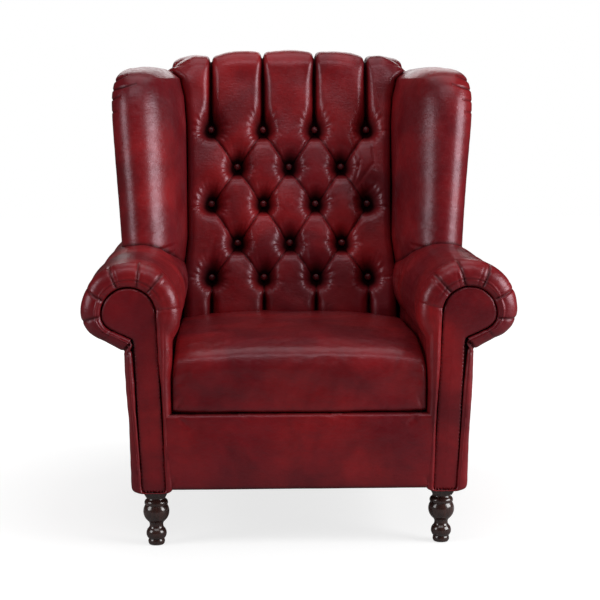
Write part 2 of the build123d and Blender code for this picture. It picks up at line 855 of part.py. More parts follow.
# Everything between the padding and the outside back is open but for the rails and the webbing
with BuildPart() as back_hollow:
    with BuildSketch(rear_plane):
        hollow_low = up_rake(back_bottom_z + side_setback)
        with Locations((0, hollow_low)):
            Rectangle(
                2 * (back_half_low - side_setback),
                up_rake(back_lean_to_z) - hollow_low,
                align=(Align.CENTER, Align.MIN),
            )
    extrude(amount=back_rail_thickness + 2 * webbing_thickness)

with BuildPart() as inside_back:
    add(back_form.part)
    for x, y, z in button_places:
        with BuildSketch(Plane.XZ.offset(-y)):
            with Locations((x, z)):
                Circle(button_radius + button_play)
        extrude(amount=2 * button_depth, mode=Mode.SUBTRACT)
    # Each channel folds in where it rolls over the top
    for column in (-3, -1, 1, 3):
        middle = column * button_pitch / 2
        with BuildSketch(Plane.XZ.offset(-rear_y)):
            with BuildLine():
                Polyline(
                    (middle - notch_half_width, overall_height + soft_gap),
                    (middle + notch_half_width, overall_height + soft_gap),
                    (middle, overall_height - notch_depth),
                    close=True,
                )
            make_face()
        extrude(amount=rear_y, mode=Mode.SUBTRACT)
    for held in (back_foam, back_hollow, top_back_rail, lower_back_rail, back_webbing):
        add(held.part, mode=Mode.SUBTRACT)
finish(inside_back, "inside_back")

with BuildPart() as back_buttons:
    for x, y, z in button_places:
        with BuildSketch(Plane.XZ.offset(-y)):
            with Locations((x, z)):
                Circle(button_radius)
        extrude(amount=button_height)
    rims = back_buttons.edges().filter_by(GeomType.CIRCLE).filter_by(
        lambda rim: rim.arc_center.Y < between(crown_table, rim.arc_center.Z) + button_depth - leather
    )
    fillet(rims, button_edge)
finish(back_buttons, "back_buttons")


# Seat: side profiles that swell to the middle
half_station_shares = [(0.4, 0.93), (0.8, 0.62), (1.0, 0.0)]
seat_station_shares = [(-x, crown) for x, crown in reversed(half_station_shares)]
seat_station_shares += [(0.0, 1.0)] + half_station_shares
seat_corner_shares = (0.26, 0.72)


def seat_section(x_share, crown_share):
    """Side profile of the seat at a share of its half width."""
    crest_z = seat_side_z + seat_crown * crown_share
    back_z = seat_back_side_z + seat_back_crown * crown_share
    face_y = front_y + seat_front_setback + seat_front_bulge * (1 - crown_share)
    nose = (face_y, seat_front_top_z - seat_front_bulge * (1 - crown_share))
    crest = (front_y + seat_nose_setback, crest_z)
    tuck = (face_y + seat_front_bulge, seat_crease_z)
    corner = (
        nose[0] + (crest[0] - nose[0]) * seat_corner_shares[0],
        nose[1] + (crest[1] - nose[1]) * seat_corner_shares[1],
    )
    with BuildSketch(Plane.YZ.offset(seat_half_width * x_share)) as section:
        with BuildLine():
            Line((seat_back_y, seat_crease_z), tuck)
            ThreePointArc(tuck, (face_y, (seat_crease_z + nose[1]) / 2), nose)
            ThreePointArc(nose, corner, crest)
            ThreePointArc(
                crest,
                ((crest[0] + seat_back_y) / 2, (crest_z + back_z) / 2 + seat_front_bulge),
                (seat_back_y, back_z),
            )
            Line((seat_back_y, back_z), (seat_back_y, seat_crease_z))
        make_face()
    return section


spring_rest_z = rail_top_z + clip_height
with BuildPart() as seat_foam:
    with BuildSketch(Plane.XY.offset(spring_rest_z)):
        with Locations((0, front_rail_y)):
            Rectangle(
                2 * (seat_half_width - leather * 2),
                seat_back_y - leather * 2 - front_rail_y,
                align=(Align.CENTER, Align.MIN),
            )
    extrude(amount=seat_front_top_z - leather * 2 - spring_rest_z)
finish(seat_foam, "seat_foam")

with BuildPart() as seat_cover:
    for shares in seat_station_shares:
        add(seat_section(*shares).sketch)
    loft()
    add(seat_foam.part, mode=Mode.SUBTRACT)
finish(seat_cover, "seat_cover")


def apron_half(z):
    """Half width of the apron at height z, beside the inner edge of the facings."""
    climb_share = (z - facing_bottom_z) / (facing_head_z - facing_bottom_z)
    edge_x = facing_head_x - facing_head_radius
    return facing_bottom_inner_x + (edge_x - facing_bottom_inner_x) * climb_share - soft_gap


apron_top_z = seat_crease_z - soft_gap
with BuildPart() as front_apron:
    with BuildSketch(Plane.XZ.offset(-front_rail_y)):
        with BuildLine():
            Polyline(
                (-apron_half(apron_bottom_z), apron_bottom_z),
                (apron_half(apron_bottom_z), apron_bottom_z),
                (apron_half(apron_top_z), apron_top_z),
                (-apron_half(apron_top_z), apron_top_z),
                close=True,
            )
        make_face()
    extrude(amount=front_rail_y - apron_face_y)
    fillet(front_apron.faces().sort_by(Axis.Y)[0].edges(), apron_edge_radius)
finish(front_apron, "front_apron")

# Arms: the cover wraps the inside, the roll and the front, the outside panel closes the outer side, and the
# padding fills the roll and lines the inside
with BuildPart() as outer_zone:
    with BuildSketch(Plane.XZ.offset(-(front_y + lip_radius))):
        with BuildLine():
            Polyline(
                (arm_outer_bottom_x - leather * 2, post_bottom_z),
                (arm_outer_neck_x + cut_over, post_bottom_z),
                (arm_outer_neck_x + cut_over, roll_z - roll_radius + leather * 4),
                (arm_outer_bottom_x - leather * 2, roll_z - roll_radius + leather * 4),
                close=True,
            )
        make_face()
    extrude(amount=front_y + lip_radius - rear_y - cut_over)

with BuildPart() as arm_inside:
    # What the arm's leather encloses
    add(arm_core.part)
    split(bisect_by=rear_plane.offset(leather), keep=Keep.TOP)

with BuildPart() as outside_arm:
    add(arm_form.part)
    add(arm_inside.part, mode=Mode.SUBTRACT)
    add(outer_zone.part, mode=Mode.INTERSECT)
    add(back_post.part, mode=Mode.SUBTRACT)
finish_pair(outside_arm, "outside_arm")

with BuildPart() as inner_zone:
    # Below the seat the arm is open towards the rails
    with BuildSketch(Plane.XZ.offset(-front_y + cut_over)):
        with Locations((post_inner_x, arm_bottom_z - cut_over)):
            Rectangle(
                cut_over,
                seat_crease_z - arm_bottom_z + cut_over,
                align=(Align.MAX, Align.MIN),
            )
    extrude(amount=front_y - rear_y - 2 * cut_over)

frame_in_arm = (
    front_post,
    back_post,
    side_rail,
    arm_rail,
    wing_board,
    front_rail,
    back_rail,
    lower_back_rail,
    back_webbing,
)
with BuildPart() as arm_cover:
    add(arm_form.part)
    for cut in (arm_inside, outer_zone, inner_zone, facing_pocket, leg_bolt_reach) + frame_in_arm:
        add(cut.part, mode=Mode.SUBTRACT)
finish_pair(arm_cover, "arm_cover")

with BuildPart() as arm_hollow:
    with BuildSketch(Plane.XY.offset(arm_bottom_z)):
        with Locations((post_inner_x, front_y)):
            Rectangle(roll_radius, overall_depth, align=(Align.MIN, Align.MIN))
    extrude(amount=lower_rail_z - arm_bottom_z)

with BuildPart() as arm_foam:
    add(arm_inside.part)
    for cut in (arm_hollow,) + frame_in_arm:
        add(cut.part, mode=Mode.SUBTRACT)
finish_pair(arm_foam, "arm_foam")

# Outside back
with BuildPart() as outside_back:
    with BuildSketch(rear_plane):
        with BuildLine():
            Polyline(
                (arm_outer_bottom_x, 0),
                (arm_outer_neck_x, up_rake(roll_z - roll_radius)),
                (wing_rear_low_x, up_rake(wing_low_z)),
                (wing_rear_high_x, up_rake(wing_top_z)),
                (back_crest_half, up_rake(outside_back_top_z)),
            )
            Line((back_crest_half, up_rake(outside_back_top_z)), (0, up_rake(outside_back_top_z)))
            mirror(about=Plane.YZ)
            Line((arm_outer_bottom_x, 0), (-arm_outer_bottom_x, 0))
        make_face()
    extrude(amount=-outside_back_thickness)
finish(outside_back, "outside_back")

# Seat springs: zigzag wires laid from the front rail to the back rail, on clips
spring_z = rail_top_z + clip_height / 2
spring_front_y = front_rail_y + rail_thickness / 2
spring_back_y = back_rail_y + rail_thickness / 2
spring_run = spring_back_y - spring_front_y
turn = spring_turn_radius
zigzag_start_y = spring_front_y + (spring_run - spring_turns * 2 * turn) / 2
spring_places = [(i - (spring_count - 1) / 2) * spring_pitch for i in range(spring_count)]


def spring_path(x):
    """A zigzag of half turns joined by cross runs, with a straight run at each end."""
    reach = spring_half_width - turn
    bend = turn * (1 - diagonal_share)
    y = zigzag_start_y
    with BuildLine(Plane.XY.offset(spring_z)) as path:
        Line((x, spring_front_y), (x, y - turn))
        ThreePointArc((x, y - turn), (x + bend, y - bend), (x + turn, y))
        Line((x + turn, y), (x + reach, y))
        for index in range(spring_turns):
            side = 1 if index % 2 == 0 else -1
            edge = x + side * reach
            swing = side * turn * diagonal_share
            ThreePointArc((edge, y), (edge + swing, y + bend), (edge + side * turn, y + turn))
            ThreePointArc(
                (edge + side * turn, y + turn),
                (edge + swing, y + 2 * turn - bend),
                (edge, y + 2 * turn),
            )
            y += 2 * turn
            if index < spring_turns - 1:
                Line((edge, y), (x - side * reach, y))
        Line((edge, y), (x + side * turn, y))
        ThreePointArc((x + side * turn, y), (x + side * bend, y + bend), (x, y + turn))
        Line((x, y + turn), (x, spring_back_y))
    return path


with BuildPart() as seat_springs:
    for x in spring_places:
        path = spring_path(x)
        with BuildSketch(Plane(origin=(x, spring_front_y, spring_z), z_dir=(0, 1, 0))):
            Circle(spring_wire / 2)
        sweep(path=path.wires()[0])
finish(seat_springs, "seat_springs")

with BuildPart() as spring_clips:
    for x in spring_places:
        for y in (spring_front_y, spring_back_y):
            with BuildSketch(Plane.XY.offset(rail_top_z)):
                with Locations((x, y)):
                    Rectangle(clip_length, clip_width)
            extrude(amount=clip_height)
    for x in spring_places:
        with BuildSketch(Plane.XZ.offset(-spring_front_y + clip_width)):
            with Locations((x, spring_z)):
                Circle(spring_wire / 2 + fit_gap)
        extrude(amount=-(spring_run + 2 * clip_width), mode=Mode.SUBTRACT)
finish(spring_clips, "spring_clips")

with BuildPart() as dust_cover:
    with BuildSketch(Plane.XY.offset(rail_bottom_z)):
        with Locations((0, front_rail_y + leather)):
            Rectangle(
                2 * (post_inner_x - leather),
                back_rail_y + rail_thickness - leather * 2 - front_rail_y,
                align=(Align.CENTER, Align.MIN),
            )
    extrude(amount=-dust_cover_thickness)
    for side in (-1, 1):
        with BuildSketch(Plane.XY.offset(rail_bottom_z)):
            with Locations((side * (back_post_inner_x + back_post_width / 2), back_rail_y)):
                Rectangle(back_post_width + fit_gap, back_post_depth * 2, align=(Align.CENTER, Align.CENTER))
        extrude(amount=-dust_cover_thickness, mode=Mode.SUBTRACT)
finish(dust_cover, "dust_cover")
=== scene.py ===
import json
import math

import bmesh
import bpy
import numpy as np
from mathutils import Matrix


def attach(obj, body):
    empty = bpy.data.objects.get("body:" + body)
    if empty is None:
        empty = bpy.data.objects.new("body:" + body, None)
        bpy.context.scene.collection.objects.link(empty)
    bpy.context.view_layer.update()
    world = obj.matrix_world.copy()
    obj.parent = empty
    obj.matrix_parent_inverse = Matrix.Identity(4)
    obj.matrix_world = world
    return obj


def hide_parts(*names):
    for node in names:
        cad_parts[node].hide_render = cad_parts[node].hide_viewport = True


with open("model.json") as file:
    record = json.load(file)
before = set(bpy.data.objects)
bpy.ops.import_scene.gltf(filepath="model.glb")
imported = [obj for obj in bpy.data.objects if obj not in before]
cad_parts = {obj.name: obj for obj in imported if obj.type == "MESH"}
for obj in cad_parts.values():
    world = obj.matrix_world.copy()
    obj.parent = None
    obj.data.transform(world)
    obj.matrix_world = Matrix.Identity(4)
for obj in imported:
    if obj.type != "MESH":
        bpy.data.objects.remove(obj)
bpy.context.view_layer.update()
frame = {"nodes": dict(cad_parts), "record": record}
print("frame loaded:", len(frame["nodes"]), "nodes")

mm = 0.001  # the sizes below are in millimetres

sides = ((1, "right"), (-1, "left"))

# Shared maths


def ease(low, high, x):
    # 0 below low, 1 above high, 3t^2 - 2t^3 between
    t = np.clip((x - low) / (high - low), 0, 1)
    return t * t * (3 - 2 * t)


def hump(x, width, power=2):
    # 1 at x = 0, then exp(-(x / width)^power)
    return np.exp(-(x / width) ** power)


def quarterRound(x):
    # a quarter circle's gap: 1 at x = 0, 0 from x = 1 on
    return 1 - np.sqrt(np.clip(1 - (1 - np.clip(x, 0, 1)) ** 2, 0, 1))


def lumps(p, q, size, seed, waves=9):
    # sum of sines in random directions, about -1 to 1, with lumps about size across
    rng = np.random.default_rng(seed)
    total = np.zeros(np.broadcast(p, q).shape)
    for _ in range(waves):
        turn = rng.uniform(0, 2 * math.pi)
        pitch = 2 * math.pi / (size * rng.uniform(0.7, 1.8))
        total += np.sin(pitch * (p * math.cos(turn) + q * math.sin(turn)) + rng.uniform(0, 6.28))
    return total / math.sqrt(waves * 2)


def bellAverage(points, n):
    # each row averaged with its n neighbours each side, by a bell of weights that sum to 1
    bell = np.hanning(2 * n + 3)[1:-1]
    return np.stack([np.convolve(column, bell / bell.sum(), "valid") for column in points.T], -1)


def sineSpaced(n):
    # n shares from -1 to 1, close together towards both ends
    return np.sin(np.linspace(-math.pi / 2, math.pi / 2, n))


def softLine(points, step, window):
    # straight runs through the points, with the corners rounded over a window
    p = np.array(points, float)
    reach = np.concatenate([[0], np.cumsum(np.linalg.norm(np.diff(p, axis=0), axis=1))])
    t = np.linspace(0, reach[-1], max(8, int(reach[-1] / step)) + 1)
    q = np.stack([np.interp(t, reach, p[:, k]) for k in range(p.shape[1])], -1)
    n = max(1, int(window / (t[1] * 2)))
    return bellAverage(np.concatenate([2 * q[0] - q[n:0:-1], q, 2 * q[-1] - q[-2:-n - 2:-1]]), n)


def straightRun(start, end, n):
    # the last n of n + 1 points from the start to the end
    return start + np.linspace(0, 1, n + 1)[1:, None] * (end - start)


def softRing(ring, n):
    return bellAverage(np.concatenate([ring[-n:], ring, ring[:n]]), n)


def outwardNormals(grid, middle):
    # unit cross product of the two grid directions, turned as a whole away from a point inside
    normal = np.cross(np.gradient(grid, axis=1), np.gradient(grid, axis=0))
    normal = normal / np.maximum(np.linalg.norm(normal, axis=-1, keepdims=True), 1e-9)
    return normal * np.sign(((grid - np.array(middle)) * normal).sum(-1).mean())


def folds(u, v, lines):
    # each line is u0, v0, u1, v1, width, depth: a furrow of depth * exp(-(distance / width)^2) along it,
    # shallower towards its ends
    total = np.zeros(u.shape)
    for u0, v0, u1, v1, width, depth in lines:
        du, dv = u1 - u0, v1 - v0
        t = np.clip(((u - u0) * du + (v - v0) * dv) / (du * du + dv * dv), 0, 1)
        away = np.hypot(u - u0 - t * du, v - v0 - t * dv)
        total += depth * hump(away, width) * (0.35 + 0.65 * np.sin(math.pi * np.clip(t, 0.12, 0.88)))
    return total


def rearAt(z):
    # y of the back's rear face, which leans by 6.85 degrees from the seat frame's lower edge up
    return 310.7 + (z - 122) * math.tan(math.radians(6.85))


def sided(name, side):
    return name + ("Right" if side > 0 else "Left")


def ringMesh(name, rings, crease=None, weld=0.0):
    # rings are (n, m, 3) in mm, each closed round m, and fans to their middles close both ends
    n, m = rings.shape[:2]
    points = np.concatenate([rings.reshape(-1, 3), rings[0].mean(0)[None], rings[-1].mean(0)[None]])
    i, j = np.meshgrid(np.arange(n - 1), np.arange(m), indexing="ij")
    k = (j + 1) % m
    quads = np.stack([i * m + j, i * m + k, (i + 1) * m + k, (i + 1) * m + j], -1).reshape(-1, 4)
    a = np.arange(m)
    b = (a + 1) % m
    fans = np.concatenate([
        np.stack([b, a, np.full(m, n * m)], -1),
        np.stack([(n - 1) * m + a, (n - 1) * m + b, np.full(m, n * m + 1)], -1),
    ])
    triangles = np.concatenate([quads[:, [0, 1, 2]], quads[:, [0, 2, 3]], fans])
    p = points[triangles]
    volume = np.einsum("ij,ij->i", p[:, 0], np.cross(p[:, 1], p[:, 2])).sum()
    if volume < 0:  # turned inside out, so every face is reversed
        quads, fans = quads[:, ::-1], fans[:, ::-1]
    mesh = bpy.data.meshes.new(name)
    mesh.from_pydata((points * mm).tolist(), [], quads.tolist() + fans.tolist())
    # the crease attribute holds painted shade per point, from 0 to 1, which the hide's colour reads
    shade = np.zeros(len(points), np.float32)
    if crease is not None:
        shade[: n * m] = np.clip(crease, 0, 1).reshape(-1)
    mesh.attributes.new("crease", "FLOAT", "POINT").data.foreach_set("value", shade)
    if weld:
        work = bmesh.new()
        work.from_mesh(mesh)
        bmesh.ops.remove_doubles(work, verts=work.verts, dist=weld * mm)
        bmesh.ops.recalc_face_normals(work, faces=work.faces)
        work.to_mesh(mesh)
        work.free()
    mesh.polygons.foreach_set("use_smooth", np.ones(len(mesh.polygons), bool))
    piece = bpy.data.objects.new(name, mesh)
    bpy.context.scene.collection.objects.link(piece)
    return piece


def panelMesh(name, side, front, rear, shade, rearShade, weld=0.0):
    # a front grid and the columns of its rear face make closed rings, mirrored for the left side; shade is
    # painted shade on the front, and rearShade is painted over the whole rear face
    grid = np.concatenate([front, rear], axis=1)
    grid[..., 0] *= side
    dark = np.concatenate([shade, np.full(rear.shape[:2], float(rearShade))], axis=1)
    return ringMesh(name, grid, dark, weld)


def dress(piece, *nodes, fill=None, slotName="leather"):
    piece.data.materials.append(finishBySlot[slotName])
    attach(piece, "root")
    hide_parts(*nodes)


# Materials


def feed(tree, node, inputs):
    # a socket is linked to the input, any other value is set on it
    for key, value in inputs.items():
        if isinstance(value, bpy.types.NodeSocket):
            tree.links.new(value, node.inputs[key])
        else:
            node.inputs[key].default_value = value


def addNode(tree, kind, inputs=None, **settings):
    node = tree.nodes.new(kind)
    for key, value in settings.items():
        setattr(node, key, value)
    feed(tree, node, inputs or {})
    return node


def mathNode(tree, operation, a, b, clamp=False):
    return addNode(tree, "ShaderNodeMath", {0: a, 1: b}, operation=operation, use_clamp=clamp).outputs[0]


def mixColour(tree, factor, a, b):
    return addNode(tree, "ShaderNodeMix", {0: factor, 6: a, 7: b}, data_type="RGBA").outputs[2]


def stretchRange(tree, *numbers):
    # the value, then the range it comes from and the range it goes to
    return addNode(tree, "ShaderNodeMapRange", dict(enumerate(numbers))).outputs[0]


def objectPlace(tree):
    return tree.nodes.new("ShaderNodeTexCoord").outputs["Object"]


def noiseAt(tree, place, **inputs):
    return addNode(tree, "ShaderNodeTexNoise", {"Vector": place, **inputs}).outputs["Fac"]


def bumped(tree, height, strength, distance):
    bump = {"Height": height, "Strength": strength, "Distance": distance}
    return addNode(tree, "ShaderNodeBump", bump).outputs["Normal"]


def newMaterial(name):
    material = bpy.data.materials.new(name)
    material.use_nodes = True
    return material, material.node_tree, material.node_tree.nodes["Principled BSDF"]


hide = {
    # scales are counted per metre, so a grain of 620 has pebbles of about 1.6 mm
    "fineScale": 1500.0, "broadScale": 95.0, "wrinkleScale": 230.0,
    "wrinkleStretch": (0.4, 0.4, 1.0), "mottleScale": 9.0, "wornScale": 5.0, "rough": (0.30, 0.42),
    "grainHeight": 0.00012,
    # shares of that height: pebbles, fine grain, broad grain and wrinkles; then the near-black colour of the
    # painted shade in creases
    "heightShares": (0.45, 0.08, 2.2, 3.6), "paintedCreaseShade": (0.004, 0.0003, 0.0006, 1),
}


hideSockets = {
    "INPUT": {"Color": ("Base", "Rubbed", "Dark"), "Float": ("Grain Scale", "Mottle Scale", "Worn Scale")},
    "OUTPUT": {"Color": ("Color",), "Float": ("Roughness", "Specular", "Height")},
}


def makeHideGroup():
    # pebbled grain, rubbed-off antique mottling, and painted shade from the crease attribute that darkens the
    # colour and dulls the shine in creases, slits, rims and seams
    group = bpy.data.node_groups.new("oxbloodHide", "ShaderNodeTree")
    for way, kinds in hideSockets.items():
        for kind, labels in kinds.items():
            for label in labels:
                group.interface.new_socket(label, in_out=way, socket_type="NodeSocket" + kind)
    given, out = group.nodes.new("NodeGroupInput").outputs, group.nodes.new("NodeGroupOutput")
    place = objectPlace(group)
    crease = addNode(group, "ShaderNodeAttribute", attribute_name="crease").outputs["Fac"]
    pebbles = {"Vector": place, "Scale": given["Grain Scale"]}
    grain = addNode(group, "ShaderNodeTexVoronoi", pebbles, feature="SMOOTH_F1").outputs["Distance"]
    fine = noiseAt(group, place, Scale=hide["fineScale"], Detail=0.0)
    broad = noiseAt(group, place, Scale=hide["broadScale"], Detail=3.0)
    # fine wrinkles that run level across the hide
    stretch = {"Vector": place, "Scale": hide["wrinkleStretch"]}
    level = addNode(group, "ShaderNodeMapping", stretch).outputs[0]
    wrinkled = noiseAt(group, level, Scale=hide["wrinkleScale"], Detail=2.0)
    mottle = noiseAt(group, place, Scale=given["Mottle Scale"], Detail=5.0, Roughness=0.6, Distortion=0.4)
    worn = noiseAt(group, place, Scale=given["Worn Scale"], Detail=3.0, Roughness=0.5)
    patch = mathNode(group, "MULTIPLY", stretchRange(group, mottle, 0.36, 0.64, 0, 1), 0.5)
    wide = mathNode(group, "MULTIPLY", stretchRange(group, worn, 0.38, 0.62, 0, 1), 0.9)
    tone = mixColour(group, wide, given["Base"], given["Rubbed"])
    tone = mixColour(group, patch, tone, given["Dark"])
    # painted shade: the crease attribute mixes the colour towards near black, and makes it rougher and less
    # shiny there
    paintedShadeShare = mathNode(group, "MULTIPLY", crease, 0.97, True)
    rough = stretchRange(group, broad, 0.3, 0.7, *hide["rough"])
    height = 0.0
    for layer, share in zip((grain, fine, broad, wrinkled), hide["heightShares"]):
        height = mathNode(group, "ADD", height, mathNode(group, "MULTIPLY", layer, share))
    feed(group, out, {
        "Color": mixColour(group, paintedShadeShare, tone, hide["paintedCreaseShade"]),
        "Roughness": mathNode(group, "ADD", rough, mathNode(group, "MULTIPLY", crease, 0.25), True),
        "Specular": mathNode(group, "SUBTRACT", 0.5, mathNode(group, "MULTIPLY", crease, 0.46), True),
        "Height": height,
    })
    return group


hideGroup = makeHideGroup()


def makeHide(name, base, rubbed, dark, grainScale):
    material, tree, shader = newMaterial(name)
    made = addNode(tree, "ShaderNodeGroup", node_tree=hideGroup)
    feed(tree, made, {
        "Base": base, "Rubbed": rubbed, "Dark": dark,
        "Grain Scale": grainScale, "Mottle Scale": hide["mottleScale"], "Worn Scale": hide["wornScale"],
    })
    feed(tree, shader, {
        "Base Color": made.outputs["Color"], "Roughness": made.outputs["Roughness"],
        "Specular IOR Level": made.outputs["Specular"], "Specular Tint": (1.0, 0.78, 0.90, 1), "IOR": 1.5,
        "Normal": bumped(tree, made.outputs["Height"], 1.0, hide["grainHeight"]),
        "Coat Weight": 0.04, "Coat Roughness": 0.17,
    })
    return material


hideColours = {
    # base, rubbed and dark, then the scale of the grain
    "oxbloodLeather": ((0.165, 0.0052, 0.0095, 1), (0.30, 0.01, 0.012, 1), (0.04, 0.0013, 0.0035, 1), 620.0),
    "buttonLeather": ((0.11, 0.005, 0.008, 1), (0.16, 0.008, 0.010, 1), (0.02, 0.001, 0.002, 1), 900.0),
}
oxblood, buttonHide = (makeHide(name, *values) for name, values in hideColours.items())


def makeWood(name, light, dark, scale, gloss, coat=0.0):
    # noise drawn out along the piece's height for the grain, with fine pores under lacquer
    material, tree, shader = newMaterial(name)
    stretch = {"Vector": objectPlace(tree), "Scale": (scale, scale, scale * 0.12)}
    drawn = addNode(tree, "ShaderNodeMapping", stretch).outputs["Vector"]
    streak = noiseAt(tree, drawn, Scale=1.0, Detail=6.0, Roughness=0.65, Distortion=0.6)
    pores = noiseAt(tree, drawn, Scale=7.0, Detail=2.0)
    feed(tree, shader, {
        "Base Color": mixColour(tree, stretchRange(tree, streak, 0.35, 0.68, 0, 1), light, dark),
        "Roughness": stretchRange(tree, pores, 0.3, 0.7, gloss, gloss + 0.12),
        "Normal": bumped(tree, pores, 0.5, 0.00006), "Coat Weight": coat, "Coat Roughness": 0.10,
    })
    return material


lacquered = makeWood("lacqueredWood", (0.060, 0.022, 0.017, 1), (0.022, 0.009, 0.008, 1), 90.0, 0.20, 0.8)
planed = makeWood("planedBeech", (0.55, 0.37, 0.21, 1), (0.40, 0.25, 0.13, 1), 70.0, 0.5)


def makePlain(name, light, dark, scale, rough, metal=0.0, height=0.0001):
    material, tree, shader = newMaterial(name)
    noise = noiseAt(tree, objectPlace(tree), Scale=scale, Detail=4.0)
    feed(tree, shader, {
        "Base Color": mixColour(tree, noise, light, dark), "Metallic": metal,
        "Roughness": stretchRange(tree, noise, 0.3, 0.7, rough, rough + 0.15),
        "Normal": bumped(tree, noise, 0.6, height),
    })
    return material


steel = makePlain("zincSteel", (0.52, 0.53, 0.54, 1), (0.38, 0.39, 0.41, 1), 240.0, 0.32, 1.0)
cloth = makePlain("blackCloth", (0.022, 0.022, 0.024, 1), (0.010, 0.010, 0.012, 1), 900.0, 0.8)
jute = makePlain("juteWebbing", (0.52, 0.38, 0.22, 1), (0.36, 0.25, 0.13, 1), 700.0, 0.8, 0.0, 0.0003)
nylon = makePlain("nylonGlide", (0.10, 0.09, 0.08, 1), (0.07, 0.065, 0.06, 1), 300.0, 0.4)
foamPad = makePlain("paddingFoam", (0.80, 0.72, 0.52, 1), (0.70, 0.62, 0.42, 1), 500.0, 0.85, 0.0, 0.0003)
print("materials made")

# Frame, legs and fixings: the CAD pieces themselves, each in its own finish

finishBySlot = {
    "frame_wood": planed, "dark_wood": lacquered, "steel": steel, "webbing": jute,
    "dust_cloth": cloth, "glide": nylon, "foam": foamPad, "leather": oxblood, "button_leather": buttonHide,
}
for part in frame["record"]["subparts"]:
    node = frame["nodes"][part["node"]]
    node.data.materials.clear()
    node.data.materials.append(finishBySlot[part["material_slot"]])
    node.data.polygons.foreach_set("material_index", np.zeros(len(node.data.polygons), np.int32))

# Inside back: one deep-buttoned panel that runs up over the crest and down behind it

back = {
    "columns": 262, "rearColumns": 10,
    "rearShare": 0.985,  # the rear face stops a little short of both sides
    "step": 2.6,
    "window": 38,  # length over which the profile's corners are rounded
    # y and z of the profile, from below the seat up over the crest
    "path": [
        (130, 296), (130, 440), (262, 1000), (268, 1040), (284, 1061),
        (306, 1069), (345, 1069), (380, 1060), (404, 1036), (409, 1022),
    ],
    "widths": ([300, 540, 613, 890, 955, 1000, 1024], [262, 260, 250, 252, 257, 268, 291]),  # z, half width
    "pastCrest": 2000,  # stands for the height of all that lies behind the crest
    "crestRise": (985, 1060), "crestRun": 60,
    "thickness": [66, 62, 40, 34],  # at the foot, below the crest, at the crest and at the rear end
    "thicknessRun": 90, "sideTurn": 20, "sideRound": 24,
    "buttonRows": [513.5, 597, 692, 782, 873],
    "halfPitch": 64.25,
    "outerColumn": 3,  # half pitches from the middle to the outer buttons of a row of four
    "wander": 0.012,
    "openAbove": (878, 912),  # heights over which the diamonds give way to channels
    "openBelow": (455, 505), "rowEdge": 0.001,
}
pleat = {
    "steepness": 0.0244,  # rise of an upright pleat's cosine per mm, and of a slanted one's
    "slantSteepness": 0.0300, "far": 60, "sag": 6, "sagPower": 0.6, "fold": 6, "foldWidth": 2.6,
    "channel": 28, "lowChannel": 24, "crestDepth": 12, "shoulder": 21, "crestShoulder": 9,
    "slitHalf": 2.5, "slit": 9, "slitWidth": 3.4, "slitFade": 0.6, "channelSag": 4,
    # the channels' sag power, then the widths of the painted shade in the slits and along the folds, and the
    # folds' painted shade strength
    "channelPower": 0.8, "slitShade": 4.6, "foldShade": 1.8, "foldDark": 0.55,
}
pocket = {
    # the hollow's depth, reach and power, how far it reaches up and down, then the strength, width and power
    # of the painted shade in it
    "depth": 33, "reach": (23, 2.3), "up": 1.7, "down": 0.85, "dark": 1.25, "shade": (21, 3.4),
    # fine rays round the rim in two rhythms, turned a little by row and column, and one longer to each side
    "rays": (21, 13, 0.7), "rayDepth": 0.75, "rayAt": 31, "rayWidth": 10, "raySideways": 1.2,
    "twist": (2.3, 3.1, 1.7), "longDepth": 1.3, "longAt": 34, "longWidth": 13, "longTurn": 0.09,
    "longSkew": 0.1,
}
sideCrease = {
    "rows": ((513.5, 1), (692, 2), (873, 3)),  # height and number
    "rise": 8, "swing": 2.1, "depth": 3.2, "width": 3, "fade": 1.1,
}
crest = {
    # depths, and the distances from the middle over which each comes in
    "falls": ((24, 226, 292), (6, 80, 200), (4, 155, 190)),
    "rearShare": 0.7, "swell": 2, "swellHalf": 300,
}
# long soft creases in the hide: x, z, x, z, width, depth
backFolds = [
    (150, 862, 176, 800, 4, 2.5), (176, 800, 160, 745, 4, 2.2), (205, 850, 212, 780, 5, 2),
    (110, 780, 96, 710, 4, 1.5), (150, 720, 205, 790, 5, 2), (150, 690, 215, 745, 5, 2),
    (160, 640, 215, 700, 5, 1.8), (40, 620, 52, 560, 5, 1.5), (20, 640, 30, 580, 4, 1.2),
    (-200, 560, -180, 620, 8, 1.5),
]


def buttonColumns(row):
    # half pitches from the middle: rows of four and of three by turns
    return [-3, -1, 1, 3] if row % 2 == 0 else [-2, 0, 2]


def pocketRays(turn, d, row, column):
    # depth of the fine wrinkles round one button: sines of the angle, strongest to the sides
    twist, rowTwist, columnTwist = pocket["twist"]
    twist = twist * np.sin(row * rowTwist + column * columnTwist)
    first, second, share = pocket["rays"]
    rays = np.sin(first * turn + twist) + share * np.sin(second * turn - twist)
    sideways = np.abs(np.cos(turn)) ** pocket["raySideways"]
    skew = pocket["longSkew"] * twist
    long = hump(turn - skew, pocket["longTurn"]) + hump(np.abs(turn) - math.pi + skew, pocket["longTurn"])
    fine = pocket["rayDepth"] * rays * sideways * hump(d - pocket["rayAt"], pocket["rayWidth"])
    return fine + pocket["longDepth"] * long * hump(d - pocket["longAt"], pocket["longWidth"])


